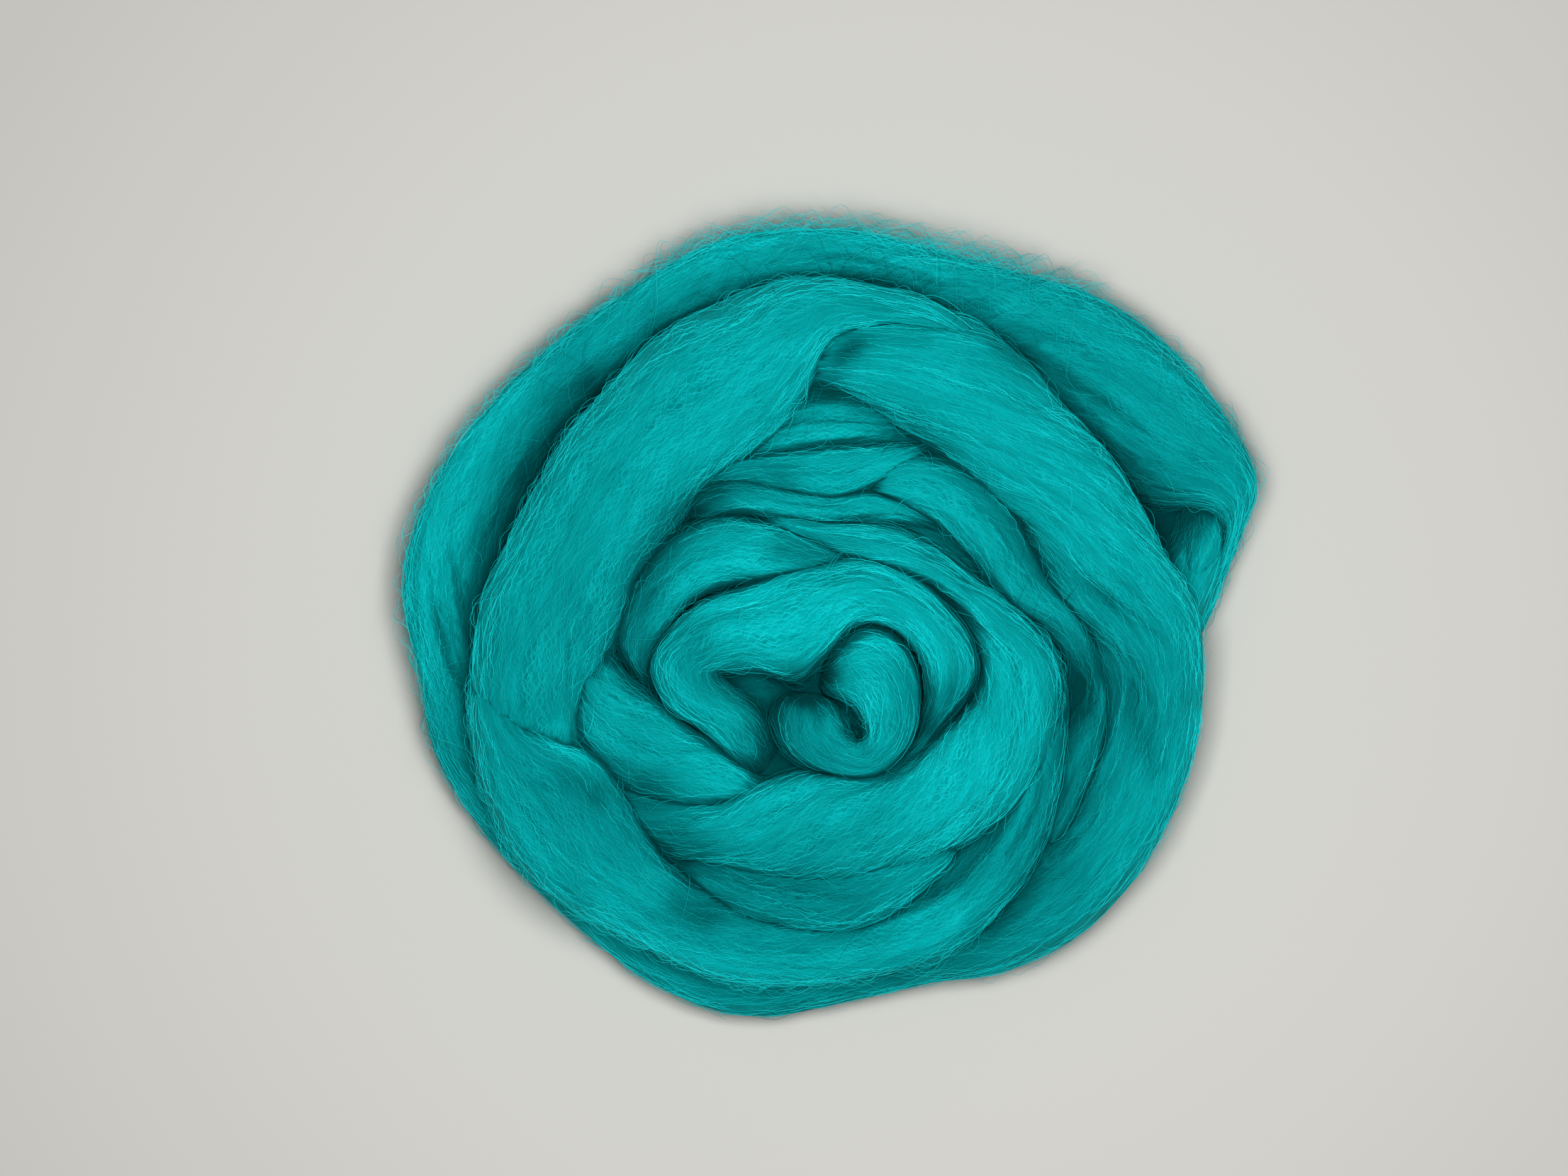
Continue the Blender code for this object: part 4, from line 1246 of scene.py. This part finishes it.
def spun(name, lines, facings, rng, thickness, tones):
    """One piece with a tapered tube for every line. Thickness and tones are each a lowest and a
    highest value, and a tone runs from 0, deep, to 1, pale."""
    data = bpy.data.curves.new(name, "CURVE")
    data.dimensions = "3D"
    data.twist_mode = "Z_UP"
    data.bevel_mode = "OBJECT"
    data.bevel_object = fibre_section
    share = np.linspace(0, 1, len(lines[0]))
    taper = np.sqrt(np.sin(math.pi * share).clip(0, 1)) / 2 * MM
    taper[[0, -1]] = 0
    for line, tilt in zip(lines, tilts(lines, facings)):
        thread = data.splines.new("POLY")
        thread.points.add(len(line) - 1)
        thread.points.foreach_set("co", np.c_[placed(line), np.ones(len(line))].ravel())
        thread.points.foreach_set("radius", taper * rng.uniform(*thickness))
        thread.points.foreach_set("tilt", tilt)
    source = put_in_scene(name, data)
    depsgraph = bpy.context.evaluated_depsgraph_get()
    mesh = bpy.data.meshes.new_from_object(source.evaluated_get(depsgraph))
    mesh.name = name
    bpy.data.objects.remove(source)
    bpy.data.curves.remove(data)

    per_thread = len(mesh.vertices) // len(lines)
    halfway = len(share) // 2
    middles = placed(lines[:, halfway])
    store(mesh, "tone", np.repeat(rng.uniform(*tones, len(lines)), per_thread))
    # Painted shade from openness and painted light and shade of the routes, at each fibre's middle.
    store(mesh, "openness", np.repeat(openness(middles, facings[:, halfway]), per_thread))
    store(mesh, "shade", np.repeat(painted_light_and_shade_at(middles), per_thread))
    shape = bmesh.new()
    shape.from_mesh(mesh)
    bmesh.ops.remove_doubles(shape, verts=shape.verts, dist=SEAM_GAP * MM)
    bmesh.ops.recalc_face_normals(shape, faces=shape.faces)
    shape.to_mesh(mesh)
    shape.free()
    mesh.shade_flat()
    mesh.materials.clear()
    mesh.materials.append(single_fibres)
    return put_in_scene(name, mesh)


# %% Fibres over every strand that shows
FIBRE_SEED = 200
MOST_FIBRES = 2500              # in one piece
total_triangles = skin_triangles
for number, name in enumerate(visible):
    surface = surfaces[name]
    rng = np.random.default_rng(FIBRE_SEED + number)
    lines, facings = fibre_lines(surface, rng, per_100=9.5, points=11, length=(8, 15), lean=0.17,
                                 lift=(0.03, 0.9), crimp=0.17)
    heaps = np.array_split(np.arange(len(lines)), math.ceil(len(lines) / MOST_FIBRES))
    for part, heap in enumerate(heaps, start=1):
        piece = spun(f"{name}_fibres_{part}", lines[heap], facings[heap], rng,
                     thickness=(0.12, 0.2), tones=(0.25, 1.0))
        total_triangles += hand_over(piece)
    print(name, len(lines), "fibres")
print("triangles so far:", total_triangles)

# %% [markdown]
# ## Fibres that stand away
# Wool never lies quite flat. Some fibres lift off, arch over and end in the air, and they blur every
# edge and cross the dark gaps. They leave the skin at a slant and curl more loosely than the rest.

# %% Flyaways
SHORTEST_STEP = 0.05            # points of a line lie at least this far apart
STRAY_SIDES = (0.08, 0.92)      # shares of the way round a strand that flyaways start from
UNDER = 0.02                    # no line comes nearer to the seam than this share of the girth
CURL_LENGTH = (5, 11)
END_MARGIN = 0.5                # no line comes nearer to a strand's ends than this
RISING = 1.4                    # more keeps a line that ends in the air low for longer
RIPPLE = 0.25                   # how much a line goes up and down, as a share of its rise
ROOT_TEST = 4                   # a line is tested a quarter of its length from its root


def stray_lines(surface, rng, per_100, points, length, lean, rise, curl, run=None, sides=STRAY_SIDES):
    """Lines of fibres that leave the skin: half arch back to it, half end in the air."""
    total, girth = surface["along"][-1], surface["around"][-1]
    first, last = run or (0, total)
    count = round(per_100 * (last - first) * (sides[1] - sides[0]) * girth / 100)
    span = rng.uniform(*length, (count, 1))
    start = rng.uniform(first, last, (count, 1))
    side = rng.uniform(*sides, (count, 1)) * girth
    leaning = rng.normal(0, lean, (count, 1)) + np.interp(start, surface["along"], surface["slant"])
    heading = rng.choice((-1, 1), (count, 1))
    phase = rng.uniform(0, 2 * math.pi, (count, 2))
    top = rng.uniform(*rise, (count, 1))
    arch = rng.choice((0, 1), (count, 1))

    share = np.linspace(0, 1, points)
    gone = span * share
    curl_length = rng.uniform(*CURL_LENGTH, (count, 1))
    swing = curl * share * np.sin(2 * math.pi * gone / curl_length + phase[:, :1])
    along = np.clip(start + heading * gone, END_MARGIN, total - END_MARGIN)
    around = np.clip(side + leaning * gone + swing, UNDER * girth, (1 - UNDER) * girth)
    lifted = np.where(arch, np.sin(math.pi * share), share ** RISING)
    height = (top + TUCK) * lifted - TUCK
    height = height + RIPPLE * top * share * np.sin(2 * math.pi * gone / curl_length + phase[:, 1:])
    lines, facing = on_skin(surface, along, around, height)
    steps = np.linalg.norm(np.diff(lines, axis=1), axis=-1)
    whole = (lines[..., 2].min(axis=1) > 0) & (steps.min(axis=1) > SHORTEST_STEP)
    lines, facing = lines[whole], facing[whole]
    k = points // ROOT_TEST
    open_air = [shows(line[k] + SKIN_CLEARANCE * way[k], way[k]) for line, way in zip(lines, facing)]
    return lines[open_air], facing[open_air]


for number, name in enumerate(visible):
    surface = surfaces[name]
    rng = np.random.default_rng(2 * FIBRE_SEED + number)
    lines, facings = stray_lines(surface, rng, per_100=3.5, points=10, length=(5, 14), lean=0.6,
                                 rise=(0.5, 2.6), curl=0.9)
    flyaways = spun(name + "_flyaways", lines, facings, rng, thickness=(0.08, 0.12), tones=(0.5, 1.0))
    total_triangles += hand_over(flyaways)
    print(name, len(lines), "flyaways")
print("triangles so far:", total_triangles)

# %% [markdown]
# ## Frayed edges
# Where the roving has been handled most its edge frays, and a haze of wisps stands out from it. These
# are flyaways once more, only longer and closer, and kept to one stretch and one side of a strand.

# %% Frays
FRAYS = (
    # strand, start and end of the stretch in plan, sides, fibres per 100 mm2, length, rise
    ("outer_turn", (58, 78), (0, 95), (0.16, 0.38), 30.0, (8, 18), (1.5, 7.0)),
    ("outer_turn", (0, 95), (-52, 82), (0.16, 0.38), 26.0, (7, 16), (1.2, 6.0)),
    ("outer_turn", (104, 34), (58, 78), (0.16, 0.38), 10.0, (6, 13), (1.0, 3.6)),
    ("outer_turn", (-52, 82), (-100, -36), (0.16, 0.38), 14.0, (6, 14), (1.0, 4.2)),
    ("third_turn", (-86, -36), (36, -80), (0.2, 0.42), 9.0, (6, 13), (0.8, 3.0)),
    ("second_turn", (-6, 84), (-88, -36), (0.2, 0.4), 4.0, (5, 12), (0.6, 2.2)),
    ("fold_back", (97.5, 6), (104, 22), (0.2, 0.4), 6.0, (6, 14), (1.5, 5.0)),
    ("second_turn", (-8, 68), (-73, -18), (0.6, 0.82), 8.0, (5, 11), (0.8, 3.0)),
    ("outer_turn", (72, 8), (22, 62), (0.6, 0.82), 8.0, (5, 11), (0.8, 3.0)),
    ("third_turn", (-74, -38), (-40, -72), (0.6, 0.82), 8.0, (5, 11), (0.8, 3.0)),
    ("inner_turn", (-20, -54), (44, -2), (0.2, 0.42), 6.0, (5, 11), (0.8, 2.6)),
    ("left_lobe", (-8, 15), (-48, 2), (0.2, 0.42), 6.0, (5, 10), (0.8, 2.6)),
    ("wide_curl", (16, 4), (-36, -8), (0.2, 0.42), 6.0, (5, 10), (0.8, 2.6)),
)


def near(surface, place):
    """The distance along a strand at which it passes a plan point."""
    middles = surface["points"][:, :, :2].mean(axis=1)
    return surface["along"][np.linalg.norm(middles - place, axis=1).argmin()]


for number, (name, start, end, sides, per_100, length, rise) in enumerate(FRAYS, start=1):
    surface = surfaces[name]
    rng = np.random.default_rng(3 * FIBRE_SEED + number)
    run = sorted((near(surface, start), near(surface, end)))
    lines, facings = stray_lines(surface, rng, per_100, points=10, length=length, lean=0.9, rise=rise,
                                 curl=1.4, run=run, sides=sides)
    fray = spun(f"fray_{number}", lines, facings, rng, thickness=(0.09, 0.13), tones=(0.6, 1.0))
    total_triangles += hand_over(fray)
    print(fray.name, len(lines), "wisps")

# %% [markdown]
# ## Single fibres that catch the light
# Here and there one long fibre lies loose on top and shows as a bright line. Each is given as a short
# route in plan. A ray cast straight down finds the wool beneath every point of it.

# %% Loose fibres on top
LOOSE_POINTS = 14
LOOSE_HEIGHT = 0.45             # above the wool beneath
ABOVE_ALL = 100.0               # a height that is above all of the wool
LOOSE_FIBRES = (
    ((15, 25), (20, 30), (28, 30)),
    ((28, 22), (31, 20), (32, 17)),
    ((-63, -32), (-60, -28), (-59, -23)),
    ((-52, -52), (-50, -49), (-46, -48)),
    ((-45, 35), (-41, 43), (-36, 47), (-30, 55)),
    ((-56, 62), (-53, 58), (-50, 57)),
    ((30, 73), (33, 76), (36, 80)),
    ((31, -79), (33, -75), (36, -73)),
    ((91, 39), (96, 39.4), (101, 39)),
    ((82, 40), (86, 35), (88, 30)),
    ((-40, -84), (-36, -91), (-31, -93), (-28, -90)),
    ((54, -1), (56, 1), (54, 3), (57, 4)),
    ((60, 36), (61, 30), (60, 24)),
    ((-12, 78), (-14, 84), (-10, 88)),
)


def loose_line(route):
    """The line of one loose fibre, laid on whatever lies under its route."""
    route = np.asarray(route, float)
    plan = smooth_through(route, np.linspace(0, len(route) - 1, LOOSE_POINTS))
    line, facings = [], []
    for x, y in plan:
        hit, facing = wool_tree.ray_cast(Vector(placed((x, y, ABOVE_ALL))), -Vector(UP))[:2]
        line.append((x, y, hit.z / MM + LOOSE_HEIGHT))
        facings.append(facing)
    return np.array(line), np.array(facings)


lines, facings = map(np.array, zip(*map(loose_line, LOOSE_FIBRES)))
rng = np.random.default_rng(4 * FIBRE_SEED)
loose = spun("loose_fibres", lines, facings, rng, thickness=(0.15, 0.22), tones=(0.9, 1.0))
total_triangles += hand_over(loose)
print(len(LOOSE_FIBRES), "loose fibres; triangles in all:", total_triangles)

# %% [markdown]
# ## Floor and light
# The nest lies on a plain pale table under soft light: a wide lamp almost straight above gives the
# strands their shape, and an even pale sky fills the shadows.

# %% Floor
FLOOR_SIDE = 6000.0
FLOOR_COLOUR = (0.737, 0.72, 0.675, 1.0)

bpy.ops.mesh.primitive_plane_add(size=FLOOR_SIDE * MM, location=(0, 0, 0))
table_top = bpy.context.object
table_top.name = "table_top"
pale = Recipe("pale_table")
pale.finish(Base_Color=FLOOR_COLOUR, Roughness=0.6, Specular_IOR_Level=0.2)
table_top.data.materials.append(pale.material)

# %% Light
LAMP_PLACE = (20.0, -5.0, 640.0)
LAMP_SIDE = 220.0
LAMP_WATTS = 3.05
SKY_COLOUR = (0.97, 1.0, 1.0, 1.0)
SKY_STRENGTH = 0.22

lamp_data = bpy.data.lights.new("wide_lamp", "AREA")
lamp_data.size = LAMP_SIDE * MM
lamp_data.energy = LAMP_WATTS
lamp = put_in_scene("wide_lamp", lamp_data)
lamp.location = Vector(LAMP_PLACE) * MM
lamp.rotation_euler = (-lamp.location).to_track_quat("-Z", "Y").to_euler()

sky = bpy.data.worlds.new("soft_sky")
sky.use_nodes = True
background = sky.node_tree.nodes["Background"]
background.inputs["Color"].default_value = SKY_COLOUR
background.inputs["Strength"].default_value = SKY_STRENGTH
bpy.context.scene.world = sky
bpy.context.scene.view_settings.view_transform = "Standard"
